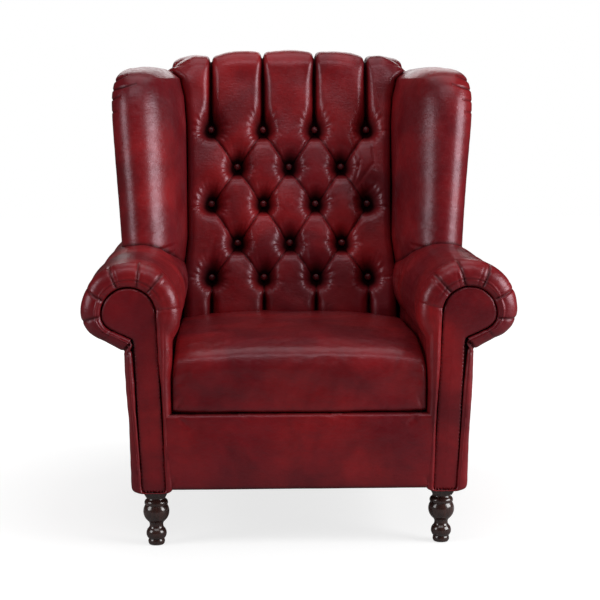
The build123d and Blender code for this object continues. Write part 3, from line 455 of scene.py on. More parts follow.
def makeBack():
    path = softLine(back["path"], back["step"], back["window"])
    y0, z0 = path[:, 0], path[:, 1]
    run = np.concatenate([[0], np.cumsum(np.hypot(np.diff(y0), np.diff(z0)))])
    top = int(np.argmax(z0))
    onFront = np.arange(len(z0)) < top
    slope = np.gradient(path, axis=0)
    slope /= np.linalg.norm(slope, axis=1, keepdims=True)
    # a quarter turn from the path, towards the sitter and up over the crest
    outY, outZ = -slope[:, 1:], slope[:, :1]
    reach = np.where(onFront, z0, back["pastCrest"])
    half = np.interp(reach, *back["widths"])[:, None]
    x = half * np.linspace(-1, 1, back["columns"])
    z = np.broadcast_to(z0[:, None], x.shape)
    along = np.broadcast_to(run[:, None], x.shape)
    overTop = ease(*back["crestRise"], reach)[:, None]
    behind = ease(0, back["crestRun"], run - run[top])[:, None]

    # a counts half pitches across, r counts rows up, held level past the first and last rows
    a = x / back["halfPitch"] + back["wander"] * lumps(x, z, 160, 3)
    r = np.interp(reach, back["buttonRows"], range(len(back["buttonRows"])))[:, None]
    lineA = np.abs(np.cos(math.pi / 2 * (a + r)))
    lineB = np.abs(np.cos(math.pi / 2 * (a - r)))
    inField = np.abs(a) <= back["outerColumn"]
    beyond = np.clip(np.abs(a) - back["outerColumn"], 0, 1)
    outer = 1 - np.cos(math.pi / 2 * r) ** 2 * np.cos(math.pi / 2 * beyond) ** 2
    puff = np.where(inField, lineA * lineB, outer)
    above = ease(*back["openAbove"], reach)[:, None]
    below = 1 - ease(*back["openBelow"], z0)[:, None]
    opened = np.maximum(above, below)

    # distance to the nearest pleat: the pleat's cosine over its rise per mm
    level = (r > len(back["buttonRows"]) - 1 - back["rowEdge"]) | (r < back["rowEdge"])
    upright = pleat["steepness"]
    away = np.where(level, lineA / upright, np.minimum(lineA, lineB) / pleat["slantSteepness"])
    outside = np.where(level, np.sin(math.pi / 2 * beyond) / upright, pleat["far"])
    away = np.where(inField, away, outside)

    # thin folds between buttons, and past the end rows slits between rounded shoulders
    closed = pleat["sag"] * (1 - puff ** pleat["sagPower"])
    closed += pleat["fold"] * np.exp(-away / pleat["foldWidth"])
    shoulder = pleat["shoulder"] - pleat["crestShoulder"] * overTop
    slitDepth = pleat["channel"] * above + pleat["lowChannel"] * below * (1 - above)
    slitDepth = slitDepth - (slitDepth - pleat["crestDepth"]) * overTop
    slit = slitDepth * quarterRound((away - pleat["slitHalf"]) / shoulder)
    slit += pleat["slit"] * hump(away, pleat["slitWidth"]) * (1 - pleat["slitFade"] * overTop)
    slit += pleat["channelSag"] * (1 - puff ** pleat["channelPower"])
    depth = (1 - opened) * closed + opened * slit

    # buttons at the foot of deep pockets that reach further up than down
    nearest = np.full(x.shape, 1e3)
    for row, rowZ in enumerate(back["buttonRows"]):
        for column in buttonColumns(row):
            dx = x - column * back["halfPitch"]
            dz = z - rowZ
            rimmed = np.where(dz > 0, dz / pocket["up"], dz / pocket["down"])
            d = np.where(onFront[:, None], np.hypot(dx, rimmed), 1e3)
            nearest = np.minimum(nearest, d)
            depth += pocketRays(np.arctan2(rimmed, dx), d, row, column)
    depth += pocket["depth"] * hump(nearest, *pocket["reach"])

    # creases that run out to the sides from the rows of four
    out = np.clip(np.abs(a) - back["outerColumn"], 0, 3)
    for rowZ, seed in sideCrease["rows"]:
        rise = sideCrease["rise"] * out * np.sin(seed * sideCrease["swing"])
        crease = hump(z - rowZ - rise, sideCrease["width"]) * (out > 0) * np.exp(-out * sideCrease["fade"])
        depth += sideCrease["depth"] * crease
    depth += folds(x, z, backFolds)

    # soft lumps of the padding, and short wrinkles in the hide
    tufted = ease(0, 0.4, puff)
    depth += 1.3 * lumps(x, along, 95, 11) * tufted
    depth += 0.3 * lumps(x, along * 0.45, 17, 12) * tufted * ease(60, 25, nearest)

    # the sides turn in, and the crest falls to its corners and swells in the middle
    depth += back["sideTurn"] * quarterRound((half - np.abs(x)) / back["sideRound"])
    fall = sum(drop * ease(low, high, np.abs(x)) for drop, low, high in crest["falls"])
    depth += fall * overTop * (1 - crest["rearShare"] * behind)
    depth = depth - crest["swell"] * overTop * (1 - (np.abs(x) / crest["swellHalf"]) ** 2)
    front = np.stack([x, y0[:, None] - outY * depth, z0[:, None] - outZ * depth], -1)

    stations = [0, run[top] - back["thicknessRun"], run[top], run[-1]]
    inset = np.interp(run, stations, back["thickness"])[:, None]
    xb = half * np.linspace(back["rearShare"], -back["rearShare"], back["rearColumns"])
    rear = np.stack([xb, y0[:, None] - outY * inset + 0 * xb, z0[:, None] - outZ * inset + 0 * xb], -1)
    # painted shade: darkest in the slits above and below the diamonds, along the thin folds and in the button
    # pockets
    shade = opened * hump(away, pleat["slitShade"])
    shade += pleat["foldDark"] * (1 - opened) * hump(away, pleat["foldShade"])
    shade += pocket["dark"] * hump(nearest, *pocket["shade"])
    print("back crest at", round(float(front[..., 2].max()), 1))
    return panelMesh("tuftedBack", 1, front, rear, shade, 0)


dress(makeBack(), "inside_back", "back_foam", fill=0.8)

# Buttons: squashed half balls on short shanks, one small ring surface each
button = {
    "radius": 8.5, "dome": 5.5,
    "domeShare": 0.97,  # the dome stops just short of its middle
    "shank": 8, "shankShare": 0.8, "sink": 38, "tilt": 0.23, "shade": 0.1, "around": 28,
    "steps": 9,
    "frontPoints": 250,  # points of the back's profile that lie before the crest
}


def makeButtons():
    path = softLine(back["path"], back["step"], back["window"])[: button["frontPoints"]]
    pieces = []
    turn = np.linspace(0, 2 * math.pi, button["around"], endpoint=False)
    lift = np.linspace(0, math.pi / 2 * button["domeShare"], button["steps"])
    r = button["radius"] * np.concatenate([[button["shankShare"]], np.cos(lift)])[:, None]
    d = np.concatenate([[button["shank"]], -button["dome"] * np.sin(lift)])[:, None]
    for row, rowZ in enumerate(back["buttonRows"]):
        y = float(np.interp(rowZ, path[:, 1], path[:, 0])) + button["sink"]
        for column in buttonColumns(row):
            ring = np.stack([
                column * back["halfPitch"] + r * np.cos(turn),
                y + d + 0 * turn,
                rowZ + r * np.sin(turn) + button["tilt"] * d,
            ], -1)
            pieces.append(ringMesh("button", ring, np.full(ring.shape[:2], button["shade"])))
    chosen = {"active_object": pieces[0], "object": pieces[0]}
    with bpy.context.temp_override(**chosen, selected_editable_objects=pieces, selected_objects=pieces):
        bpy.ops.object.join()
    pieces[0].name = "backButtons"
    return pieces[0]


dress(makeButtons(), "back_buttons", slotName="button_leather")
print("tufted back made")

# Seat: one panel that rolls over the front edge and down to a crease

seat = {
    "half": 269, "stations": 170, "linePoints": 190, "rearPoints": 16, "window": 26,
    "sideRound": 11,
    "lowSideShare": 0.25,  # share of the side round that the front face keeps
    "drawIn": 0.012, "crownPower": 2.6, "front": -417, "bottomRound": 6, "crease": 291.5,
    "brow": -275,
    "crown": (434, 18),  # height at the sides, and how much higher in the middle
    "rearCrown": (420, 17), "rear": 150, "middle": (0, -120, 360),
}
# short creases at the front: x, z, x, z, width, depth
seatFolds = [
    (-262, 300, -250, 318, 4, 3), (262, 300, 252, 322, 4, 3), (-262, 352, -238, 372, 7, 2.5),
    (262, 356, 240, 370, 7, 2.2), (-180, 297, -172, 306, 3, 1.5), (90, 297, 97, 306, 3, 1.5),
    (180, 297, 186, 308, 3, 1.5),
]


def seatProfile(s):
    # y and z of the section at a share s of the half width, from below round to the rear
    crown = 1 - abs(s) ** seat["crownPower"]
    top = seat["crown"][0] + seat["crown"][1] * crown
    rearTop = seat["rearCrown"][0] + seat["rearCrown"][1] * crown
    bottomRound, crease, rearY = seat["bottomRound"], seat["crease"], seat["rear"]
    face = seat["front"] + 6 * (1 - crown) - 3 * crown
    points = [
        (rearY, crease), (face + bottomRound, crease), (face, crease + bottomRound / 2), (face, 330),
        (face - 2, top - 58), (face + 7, top - 34), (face + 24, top - 22), (face + 70, top - 9),
        (seat["brow"], top), (-200, top + 3 * crown), (-40, (top + rearTop) / 2 + 3), (rearY, rearTop),
    ]
    line = softLine(points, 2, seat["window"])
    keep = np.linspace(0, len(line) - 1, seat["linePoints"])
    yz = np.stack([np.interp(keep, np.arange(len(line)), line[:, k]) for k in range(2)], -1)
    count = seat["rearPoints"]
    rear = np.stack([np.full(count, rearY + 2), np.linspace(rearTop - 3, crease + 3, count)], -1)
    return np.concatenate([yz, rear])


def makeSeat():
    share = sineSpaced(seat["stations"])
    rings = np.array([seatProfile(s) for s in share])
    # near the sides the rings draw in along a quarter circle, down beside the arms
    x = (seat["half"] * share)[:, None]
    drawn = seat["sideRound"] * quarterRound((seat["half"] - np.abs(x)) / seat["sideRound"])
    grid = np.stack([np.broadcast_to(x, rings.shape[:2]), rings[..., 0], rings[..., 1]], -1)
    normal = outwardNormals(grid, seat["middle"])
    climb = ease(330, 420, grid[..., 2])
    low = seat["lowSideShare"]
    grid = grid - normal * (drawn * (low + (1 - low) * climb))[..., None]
    grid[..., 0] *= 1 - seat["drawIn"] * ease(380, 430, grid[..., 2])
    gx, gy, gz = grid[..., 0], grid[..., 1], grid[..., 2]
    dent = folds(gx, gz, seatFolds) * ease(-380, -405, gy)
    dent = dent + 2.2 * lumps(gx, gy, 210, 21) * ease(350, 430, gz) + 0.35 * lumps(gx, gy + gz, 24, 22)
    dent += 1.2 * lumps(gx, gz * 2.5, 120, 23) * ease(-380, -410, gy)
    grid = grid - normal * dent[..., None]
    # painted shade along the bottom crease, read from the finished height, and down the front's sides beside
    # the arms
    dark = ease(296, 291, grid[..., 2]) + 0.7 * ease(265, 269, np.abs(grid[..., 0])) * (1 - climb)
    return ringMesh("seatPad", grid, dark)


dress(makeSeat(), "seat_cover", "seat_foam", fill=0.85)
print("seat made")

# Arms: inside face, scroll roll and pleated lip in one surface

# sections of the cover and of its facing, as x and z on the right: r and underR are the roll's radii
armOuter = {
    "bottomIn": 270, "bottomZ": 122.5, "side": 270, "cx": 355, "cz": 508,
    "r": 105, "underR": 60, "neck": 363, "bottomOut": 350,
}
armFace = {
    "bottomIn": 283, "bottomZ": 122.5, "side": 301, "cx": 359, "cz": 503,
    "r": 58, "underR": 35, "neck": 350, "bottomOut": 336,
}
arm = {
    "underAngle": 65, "frontY": -425, "middle": (355, -100, 440),
    # the lip from the facing outwards: its sunk edge, inner round, front and outer round, with their steps
    "lipDepth": 15, "sunk": (3, -4), "innerRound": 9, "innerShare": 0.3, "innerSteps": 12,
    "flatCrown": 1.6, "flatSteps": 9, "outerRound": 31, "outerShare": 0.68, "outerSteps": 18,
    "proud": 6,
    "onRoll": (-62, -45, 222, 200),  # angles round the roll at which the pleats come in and go out
    # the pleats' depth share and sharpness, then the strength of the painted shade in pleats deeper than
    # strongPleat
    "pleatShare": 0.62, "pleatPower": 1.5, "pleatDark": 0.55,
    "strongPleat": 4.5,  # only pleats deeper than this are darkened
    "pleatSkew": 0.10, "skewRadius": 80, "scallop": 1.2, "scallopRate": 4.8, "scallopStart": 25,
    "seam": 1.6,
    "seamRow": 3.2,  # rows past the inner round
    # the seam's width, then the strengths of the painted shade in the seam and in the neck tucks
    "seamWidth": 0.9, "seamDark": 0.35, "neckDark": 0.14,
    # furrows round the pleated lip: angle from the outer side, width and depth
    "pleats": {
        1: [
            (-12, 3, 5), (24, 3, 6), (31, 2, 1.5), (62, 3, 6), (71, 2, 1.5),
            (100, 3, 6), (108, 2, 1.5), (133, 3, 5), (140, 2, 2), (172, 2.5, 2.5),
        ],
        -1: [
            (-9, 3, 5), (25, 3, 6), (33, 2, 1.2), (63, 3, 6), (69, 2, 2),
            (102, 3, 5), (109, 2, 1.5), (130, 3, 6), (138, 2, 2), (175, 2.5, 2.5),
        ],
    },
}
# small tucks where the roll's underside ends at the neck: x, z, x, z, width, depth
neckFolds = [(350, 450, 372, 424, 3, 6.5), (349, 436, 362, 420, 2.2, 3), (392, 474, 408, 452, 3, 1.5)]
# creases of the inside arm: y, z, y, z, width, depth
armFolds = {
    1: [
        (-395, 560, -372, 604, 4, 3), (-402, 470, -360, 520, 5, 3.5), (-408, 420, -385, 455, 4, 2.5),
        (-30, 470, 40, 560, 9, 4), (-60, 520, 10, 600, 8, 3),
    ],
    -1: [
        (-398, 555, -370, 600, 4, 3.5), (-404, 480, -362, 515, 5, 3), (-408, 432, -380, 460, 4, 3),
        (-40, 480, 35, 570, 9, 4), (-20, 540, 30, 606, 7, 3),
    ],
}


def armOutline(shape, inset=0):
    # inner side, roll from inside over the top to the outside, its tighter underside, neck and outer side
    r = shape["r"] - inset
    cx, cz = shape["cx"], shape["cz"]
    side = shape["side"] + inset
    low = math.pi + math.acos(min(1, (cx - side) / r))
    joint = np.array([cx + r * math.cos(low), cz + r * math.sin(low)])
    bottomIn = np.array([shape["bottomIn"] + inset, shape["bottomZ"]])
    inner = bottomIn + np.linspace(0, 1, 90)[:, None] * (joint - bottomIn)
    t = np.linspace(low, 0, 210)[1:]
    roll = np.stack([cx + r * np.cos(t), cz + r * np.sin(t)], -1)
    ux = cx + shape["r"] - shape["underR"]
    ur = shape["underR"] - inset
    slant = math.radians(arm["underAngle"])
    t = np.linspace(0, -slant, 46)[1:]
    under = np.stack([ux + ur * np.cos(t), cz + ur * np.sin(t)], -1)
    end = under[-1]
    neckX = shape["neck"] - inset
    neck = np.array([neckX, end[1] - (end[0] - neckX) / math.tan(slant)])
    toNeck = straightRun(end, neck, 23)
    bottomOut = np.array([shape["bottomOut"] - inset, shape["bottomZ"]])
    outer = straightRun(neck, bottomOut, 79)
    closing = straightRun(bottomOut, bottomIn, 15)[:-1]
    return np.concatenate([inner, roll, under, toNeck, outer, closing])


def lipRows(span, ri, ro):
    # pairs of arrays: how far out from the facing, and how far behind the front
    still = np.zeros_like(span)
    rows = [(still, still + arm["lipDepth"] + step) for step in arm["sunk"]]
    for q in np.linspace(0, math.pi / 2, arm["innerSteps"]):
        rows.append((ri * (1 - math.cos(q)), ri * (1 - math.sin(q))))
    crown = arm["flatCrown"] * np.minimum(1, span / 40)
    for w in np.linspace(0, 1, arm["flatSteps"])[1:-1]:
        rows.append((ri + (span - ri - ro) * w, -crown * math.sin(math.pi * w)))
    for q in np.linspace(0, math.pi / 2, arm["outerSteps"]):
        rows.append((span - ro + ro * math.sin(q), ro * (1 - math.cos(q))))
    return rows


def armPleats(side, angle, radius, fade, onRoll):
    # furrows across the lip with soft scallops between them; gives their depth and their painted shade
    dent = np.zeros_like(angle)
    dark = np.zeros_like(angle)
    skew = arm["pleatSkew"] * (radius - arm["skewRadius"])
    for at, width, depth in arm["pleats"][side]:
        off = (angle - at - skew * math.sin(at * 5.1)) * math.radians(1) * np.maximum(radius, 50)
        furrow = hump(np.abs(off), width, arm["pleatPower"]) * fade
        dent += depth * arm["pleatShare"] * furrow
        dark += arm["pleatDark"] * furrow * (depth > arm["strongPleat"])
    wave = np.abs(np.sin(math.radians(1) * (angle - arm["scallopStart"]) * arm["scallopRate"]))
    return dent - arm["scallop"] * wave * fade * onRoll, dark


def makeArm(side):
    outer = softRing(armOutline(armOuter), 4)
    face = softRing(armOutline(armFace), 3)
    span = np.linalg.norm(outer - face, axis=1)
    ri = np.minimum(arm["innerRound"], span * arm["innerShare"])
    ro = np.minimum(arm["outerRound"], span * arm["outerShare"])
    lip = []
    for u, y in lipRows(span, ri, ro):
        xz = face + (outer - face) * (u / np.maximum(span, 1e-6))[:, None]
        lip.append(np.stack([xz[:, 0], arm["frontY"] + y, xz[:, 1]], -1))
    start = arm["frontY"] + ro
    rearY = rearAt(outer[:, 1]) - 1.0
    body = []
    for s in np.concatenate([np.linspace(0.006, 0.12, 16), np.linspace(0.12, 1, 54)[1:]]):
        body.append(np.stack([outer[:, 0], start + (rearY - start) * s, outer[:, 1]], -1))
    grid = np.array(lip + body)
    gx, gy, gz = grid[..., 0], grid[..., 1], grid[..., 2]
    # down the facing's outer side the lip stands a little proud of the outside arm
    gx += arm["proud"] * (ease(-370, -392, gy) * ease(340, 352, gx) * ease(455, 425, gz))
    normal = outwardNormals(grid, arm["middle"])
    angle = np.degrees(np.arctan2(gz - armOuter["cz"], gx - armOuter["cx"]))
    angle = np.where(angle < -100, angle + 360, angle)
    radius = np.hypot(gx - armOuter["cx"], gz - armOuter["cz"])
    rowIndex = np.arange(grid.shape[0])[:, None]
    onRoll = ease(*arm["onRoll"][:2], angle) * ease(*arm["onRoll"][2:], angle)
    fade = ease(3, 11, rowIndex) * ease(len(lip) + 7, len(lip) - 8, rowIndex)
    dent, dark = armPleats(side, angle, radius, fade, onRoll)
    # the stitched ring round the lip, a groove with painted shade in it
    seamRow = len(arm["sunk"]) + arm["innerSteps"] + arm["seamRow"]
    seam = hump(rowIndex - seamRow, arm["seamWidth"])
    seam = seam * ease(20, 50, angle) * ease(168, 140, angle)
    dent = (dent + arm["seam"] * seam) * onRoll
    dark += arm["seamDark"] * seam
    # creases along the inside arm, soft lumps of padding, and the tucks at the neck
    dent += folds(gy, gz, armFolds[side]) * ease(330, 300, gx)
    dent += 1.6 * lumps(gy, gz + gx * 0.7, 170, 31 + side)
    dent += 0.4 * lumps(gy * 0.6, gz + gx, 26, 33 + side)
    tucks = folds(gx, gz, neckFolds) * ease(-382, -396, gy)
    dent = (dent + tucks) * ease(0, 3, rowIndex)
    grid = grid - normal * dent[..., None]
    # painted shade in the neck tucks, and in the sunk rows where the lip meets the facing
    dark = dark + arm["neckDark"] * tucks + 0.9 * (rowIndex < 3) + 0.5 * ease(5, 2, rowIndex)
    grid[..., 0] *= side
    return ringMesh(sided("armPad", side), grid, dark)


for side, name in sides:
    dress(makeArm(side), "arm_cover_" + name, "arm_foam_" + name, fill=0.8)
print("arms made")

# Facings: flat panels of hide over board, softly crowned with a rounded rim
facing = {
    "inset": 2, "foot": 124, "across": 96, "up": 170,
    "straightSteps": 0.72,  # share of the rows, and of the height, below the round top
    "straightShare": 0.74, "rim": 5, "rimDrop": 4.5, "crown": 2.4, "crownReach": 16,
    "frontY": -420.5, "backY": -410, "backColumns": 8, "weld": 0.02,
}


def makeFacing(side):
    outline = softRing(armOutline(armFace, facing["inset"]), 2)
    outline[:, 1] = np.maximum(outline[:, 1], facing["foot"])
    peak = int(np.argmax(outline[:, 1]))
    top = outline[peak, 1]
    corner = np.array([armFace["bottomOut"], armFace["bottomZ"]])
    low = int(np.argmin(np.abs(outline - corner).sum(1)))
    left, right = outline[: peak + 1], outline[peak: low + 1][::-1]
    t = np.linspace(0, 1, facing["up"])
    steps, share = facing["straightSteps"], facing["straightShare"]
    rounded = share + (1 - share) * np.sin((t - steps) / (1 - steps) * math.pi / 2)
    z = facing["foot"] + (top - facing["foot"]) * np.where(t < steps, t / steps * share, rounded)
    xl = np.interp(z, left[:, 1], left[:, 0])[:, None]
    xr = np.interp(z, right[:, 1], right[:, 0])[:, None]
    x = xl + (xr - xl) * (1 - np.cos(np.linspace(0, math.pi, facing["across"]))) / 2
    zz = np.broadcast_to(z[:, None], x.shape)
    flatPoints = np.stack([x, zz], -1).reshape(-1, 2)
    apart = np.linalg.norm(flatPoints[:, None, :] - outline[None, ::2, :], axis=2)
    away = apart.min(1).reshape(x.shape)
    crown = facing["crown"] * (1 - np.exp(-away / facing["crownReach"]))
    y = facing["frontY"] + facing["rimDrop"] * quarterRound(away / facing["rim"]) - crown
    y = y + 0.3 * lumps(x, zz, 90, 41 + side)
    front = np.stack([x, y, zz], -1)
    xb = xl + (xr - xl) * np.linspace(1, 0, facing["backColumns"])
    rear = np.stack([xb, np.full(xb.shape, facing["backY"]), np.broadcast_to(z[:, None], xb.shape)], -1)
    # painted shade round the rim, and over all of the rear face
    shade = 0.5 * np.exp(-away / 1.2)
    return panelMesh(sided("armFacing", side), side, front, rear, shade, 1, facing["weld"])


for side, name in sides:
    dress(makeFacing(side), "arm_facing_" + name, fill=0.9)
print("facings made")

# Wings: level sections, from inside the roll up to a rounded top

wing = {
    "low": 560, "top": 1024,
    "start": -0.06,  # the rings start a little inside the roll
    "straightSteps": 112, "roundSteps": 76,
    "shoulder": 0.76,  # share of the height above which the front draws in
    "drawIn": 0.27, "drawBack": 0.56, "noseShrink": 0.45, "cap": 26, "capShare": 0.30, "lid": 4,
    "frontY": -18, "retreat": 168, "innerRef": 292,
    "outerX": {1: 434, -1: 428.0},
    "nose": (54, 66), "turnShare": 0.35, "innerGap": 1.5,
    "innerY": ([440, 1000, 1031], [130, 262, 282]),  # z, y of the edge beside the back
    "setback": 12, "rearX": (350, 326), "smoothing": 10,
    # height shares, then the flare and the retreat there
    "heights": (0, 0.10, 0.30, 0.52, 0.73, 0.855, 1),
    "flare": (0.79, 0.81, 0.86, 0.92, 0.98, 1, 1),
    "back": (0, 0.02, 0.11, 0.21, 0.31, 0.38, 0.42), "middle": (350, 200, 800),
    # strength of the painted shade in the top pleats and the height it starts from, then strength and width
    # of the painted shadow at the roll
    "pleatDark": 0.26, "pleatFrom": 880, "rollDark": 0.75, "rollShade": 5,
}
# pleats at the top outer corner and creases above the roll: x, z, x, z, width, depth
wingFolds = {
    -1: [
        (-436, 985, -390, 1006, 2.4, 2.8), (-442, 966, -366, 986, 2.4, 3.2), (-440, 942, -404, 957, 2.4, 2.6),
        (-436, 917, -410, 921, 2.4, 2), (-358, 594, -334, 610, 3.6, 2.4), (-326, 596, -280, 606, 3.6, 3.2),
        (-300, 581, -280, 592, 3.2, 2.5), (-350, 640, -310, 650, 8, 1.5),
    ],
    1: [
        (442, 986, 396, 1004, 2.4, 2.8), (446, 966, 380, 986, 2.4, 3), (446, 941, 406, 950, 2.4, 2.4),
        (446, 917, 412, 920, 2.4, 2), (354, 596, 332, 612, 3.6, 2.4), (322, 598, 284, 606, 3.6, 3),
        (298, 584, 280, 592, 3.2, 2.2), (346, 644, 312, 652, 8, 1.5),
    ],
}


def wingRing(side, h, flare, retreat, turned):
    # the level section at a share h of the height
    quarter = np.linspace(0, math.pi / 2, 110)
    z = wing["low"] + h * (wing["top"] - wing["low"])
    half = np.interp(z, *back["widths"]) + wing["innerGap"]
    inner = np.array([half, np.interp(z, *wing["innerY"]) + wing["setback"]])
    noseX, noseY = np.array(wing["nose"]) * (1 - wing["noseShrink"] * turned)
    outerX = wing["innerRef"] + flare * (wing["outerX"][side] - wing["innerRef"])
    tip = np.array([outerX - noseX, wing["frontY"] + retreat * wing["retreat"]])
    rearY = rearAt(z) - 1
    lowX, highX = wing["rearX"]
    rearOut = np.array([lowX + (highX - lowX) * max(h, 0), rearY])
    # a broad quarter ellipse from the back's edge to the tip, and a tighter one round the tip
    insideFace = inner + (tip - inner) * np.stack([1 - np.cos(quarter), np.sin(quarter)], -1)
    noseArc = np.stack([tip[0] + noseX * np.sin(quarter), tip[1] + noseY * (1 - np.cos(quarter))], -1)[1:]
    # the outer face is a quadratic curve on to the rear
    t = np.linspace(0, 1, 80)[1:, None]
    turn = np.array([outerX, tip[1] + noseY + wing["turnShare"] * (rearY - tip[1] - noseY)])
    outFace = (1 - t) ** 2 * noseArc[-1] + 2 * t * (1 - t) * turn + t * t * rearOut
    rearIn = np.array([inner[0] + 2, rearY])
    rearFace = straightRun(rearOut, rearIn, 13)
    sideFace = straightRun(rearIn, inner, 19)[:-1]
    ring = softRing(np.concatenate([insideFace, noseArc, outFace, rearFace, sideFace]), 5)
    # near the top the section also draws in all round, so that no rim stands there
    rise = max(0, z - wing["top"] + wing["cap"]) / wing["cap"]
    cap = 1 - math.sqrt(max(0, 1 - rise ** 2))
    ring = ring + (ring.mean(0) - ring) * wing["capShare"] * cap
    return np.column_stack([ring, np.full(len(ring), z)])


def makeWing(side):
    shoulder = wing["shoulder"]
    lift = np.sin(np.linspace(0, math.pi / 2, wing["roundSteps"]))[1:]
    straight = np.linspace(wing["start"], shoulder, wing["straightSteps"])
    at = np.concatenate([straight, shoulder + (1 - shoulder) * lift])
    # past the shoulder the front draws in and back along a cubic round, so the shine has no break there
    turned = 1 - np.sqrt(1 - np.clip((at - shoulder) / (1 - shoulder), 0, 1) ** 3)
    n = wing["smoothing"]
    tables = np.stack([np.interp(at, wing["heights"], wing[key]) for key in ("flare", "back")], -1)
    flare, retreat = bellAverage(np.pad(tables, ((n, n), (0, 0)), "edge"), n).T
    flare = flare * (1 - wing["drawIn"] * turned)
    retreat = retreat + wing["drawBack"] * turned
    rings = [wingRing(side, *values) for values in zip(at, flare, retreat, turned)]
    # the top closes over: rings draw in to their middle while they rise a little more
    last = rings[-1]
    middle = last[:, :2].mean(0)
    for q in np.linspace(0, 1, 12)[1:]:
        ring = last.copy()
        ring[:, :2] = last[:, :2] + (middle - last[:, :2]) * q * 0.9
        ring[:, 2] += wing["lid"] * math.sin(q * math.pi / 2)
        rings.append(ring)
    grid = np.array(rings)
    normal = outwardNormals(grid, wing["middle"])
    gx, gy, gz = grid[..., 0], grid[..., 1], grid[..., 2]
    rows = len(grid)
    rowIndex = np.arange(rows)[:, None]
    pleats = folds(gx * side, gz, wingFolds[side]) * ease(190, 110, gy)
    swell = 1.6 * lumps(gy, gz * 0.35, 130, 51 + side) + 0.15 * lumps(gy, gz, 30, 53 + side)
    dent = pleats * ease(rows, rows - 14, rowIndex) + swell * ease(rows, rows - 30, rowIndex)
    grid = grid - normal * dent[..., None]
    # painted shade in the top pleats, and a painted shadow where the wing goes down into the arm's roll
    rise = np.hypot(gx - armOuter["cx"], gz - armOuter["cz"]) - armOuter["r"]
    dark = wing["pleatDark"] * pleats * (gz > wing["pleatFrom"])
    dark += wing["rollDark"] * hump(np.maximum(rise, 0), wing["rollShade"])
    grid[..., 0] *= side
    return ringMesh(sided("wingPad", side), grid, dark)


for side, name in sides:
    dress(makeWing(side), "wing_cover_" + name, "wing_foam_" + name, fill=0.8)
print("wings made")

# Flat panels: apron, outside arms and outside back

apron = {
    "bottom": 127.5, "top": 290.5,
    "halves": ([123.5, 503], [282.7, 300.7]),  # z, half width
    "face": -424, "back": -401, "crown": 5, "rim": 10, "rimDrop": 9, "across": 240, "up": 72,
}
apronFolds = [
    (-258, 286, -240, 268, 6, 2.5), (-120, 288, -100, 279, 5, 1.5), (60, 288, 92, 280, 5, 1.6),
    (250, 286, 232, 270, 6, 2.2), (-278, 135, -266, 150, 5, 2), (278, 136, 268, 152, 5, 2),
]
rearColumns = 8  # of each flat panel's rear face


def panelFace(z, half, across):
    # x, z and the distance to the nearest rim of a panel with these half widths at these heights
    x = half * sineSpaced(across)
    zz = z + 0 * x
    return x, zz, np.minimum(np.minimum(half - np.abs(x), zz - z[0]), z[-1] - zz)


def panelRear(z, half, y):
    x = half * np.linspace(1, -1, rearColumns)
    return np.stack([x, y + 0 * x, z + 0 * x], -1)


def makeApron():
    z = np.linspace(apron["bottom"], apron["top"], apron["up"])[:, None]
    half = np.interp(z, *apron["halves"])
    x, zz, rim = panelFace(z, half, apron["across"])
    up = (zz - apron["bottom"]) / (apron["top"] - apron["bottom"])
    drop = apron["rimDrop"] * quarterRound(rim / apron["rim"])
    y = apron["face"] + drop - apron["crown"] * np.sin(math.pi * up) * (1 - (np.abs(x) / 300) ** 4)
    y = y + folds(x, zz, apronFolds) + 0.9 * lumps(x, zz * 1.5, 160, 61) + 0.3 * lumps(x, zz, 28, 62)
    zz = zz + up ** 3 * (1 - (x / 290) ** 2)
    front = np.stack([x, y, zz], -1)
    # painted shade along the rims, and over all of the rear face
    return panelMesh("frontApron", 1, front, panelRear(z, half, apron["back"]), 0.8 * np.exp(-rim / 2), 1)


flank = {
    "foot": 124.5, "top": 428, "up": 60, "along": 130,
    "edge": ([122, 424, 440], [350, 363, 372]),  # z, x of the outer face
    "frontY": -402, "rearGap": 2, "rim": 6, "rimDrop": 4, "bulge": 2.5, "thick": 7,
}


def makeOutsideArm(side):
    z = np.linspace(flank["foot"], flank["top"], flank["up"])[:, None]
    edge = np.interp(z, *flank["edge"])
    y0, y1 = flank["frontY"], rearAt(z) - flank["rearGap"]
    w = sineSpaced(flank["along"]) * 0.5 + 0.5
    y = y0 + (y1 - y0) * w
    zz = z + 0 * y
    rim = np.minimum(np.minimum(y - y0, y1 - y), zz - z[0])
    x = edge - flank["rimDrop"] * quarterRound(rim / flank["rim"])
    x = x + flank["bulge"] * np.sin(math.pi * w) - 0.6 * lumps(y, zz, 190, 71)
    front = np.stack([x, y, zz], -1)
    yb = y0 + (y1 - y0) * np.linspace(1, 0, rearColumns)
    rear = np.stack([edge - flank["thick"] + 0 * yb, yb, z + 0 * yb], -1)
    # painted shade along the rims
    return panelMesh(sided("outsideArm", side), side, front, rear, 0.7 * np.exp(-rim / 2.5), 0)


rearPanel = {
    "foot": 123, "straightTop": 960, "top": 1039, "across": 180,
    "widths": ([122, 403, 560, 985], [350, 363, 350, 328]),  # z, half width below the round corners
    "edgeGap": 1.5, "cornerFrom": 985, "cornerHalf": 327.5, "cornerRise": 62, "cornerDraw": 112,
    "rim": 7, "rimRise": 5, "thick": 4,
}


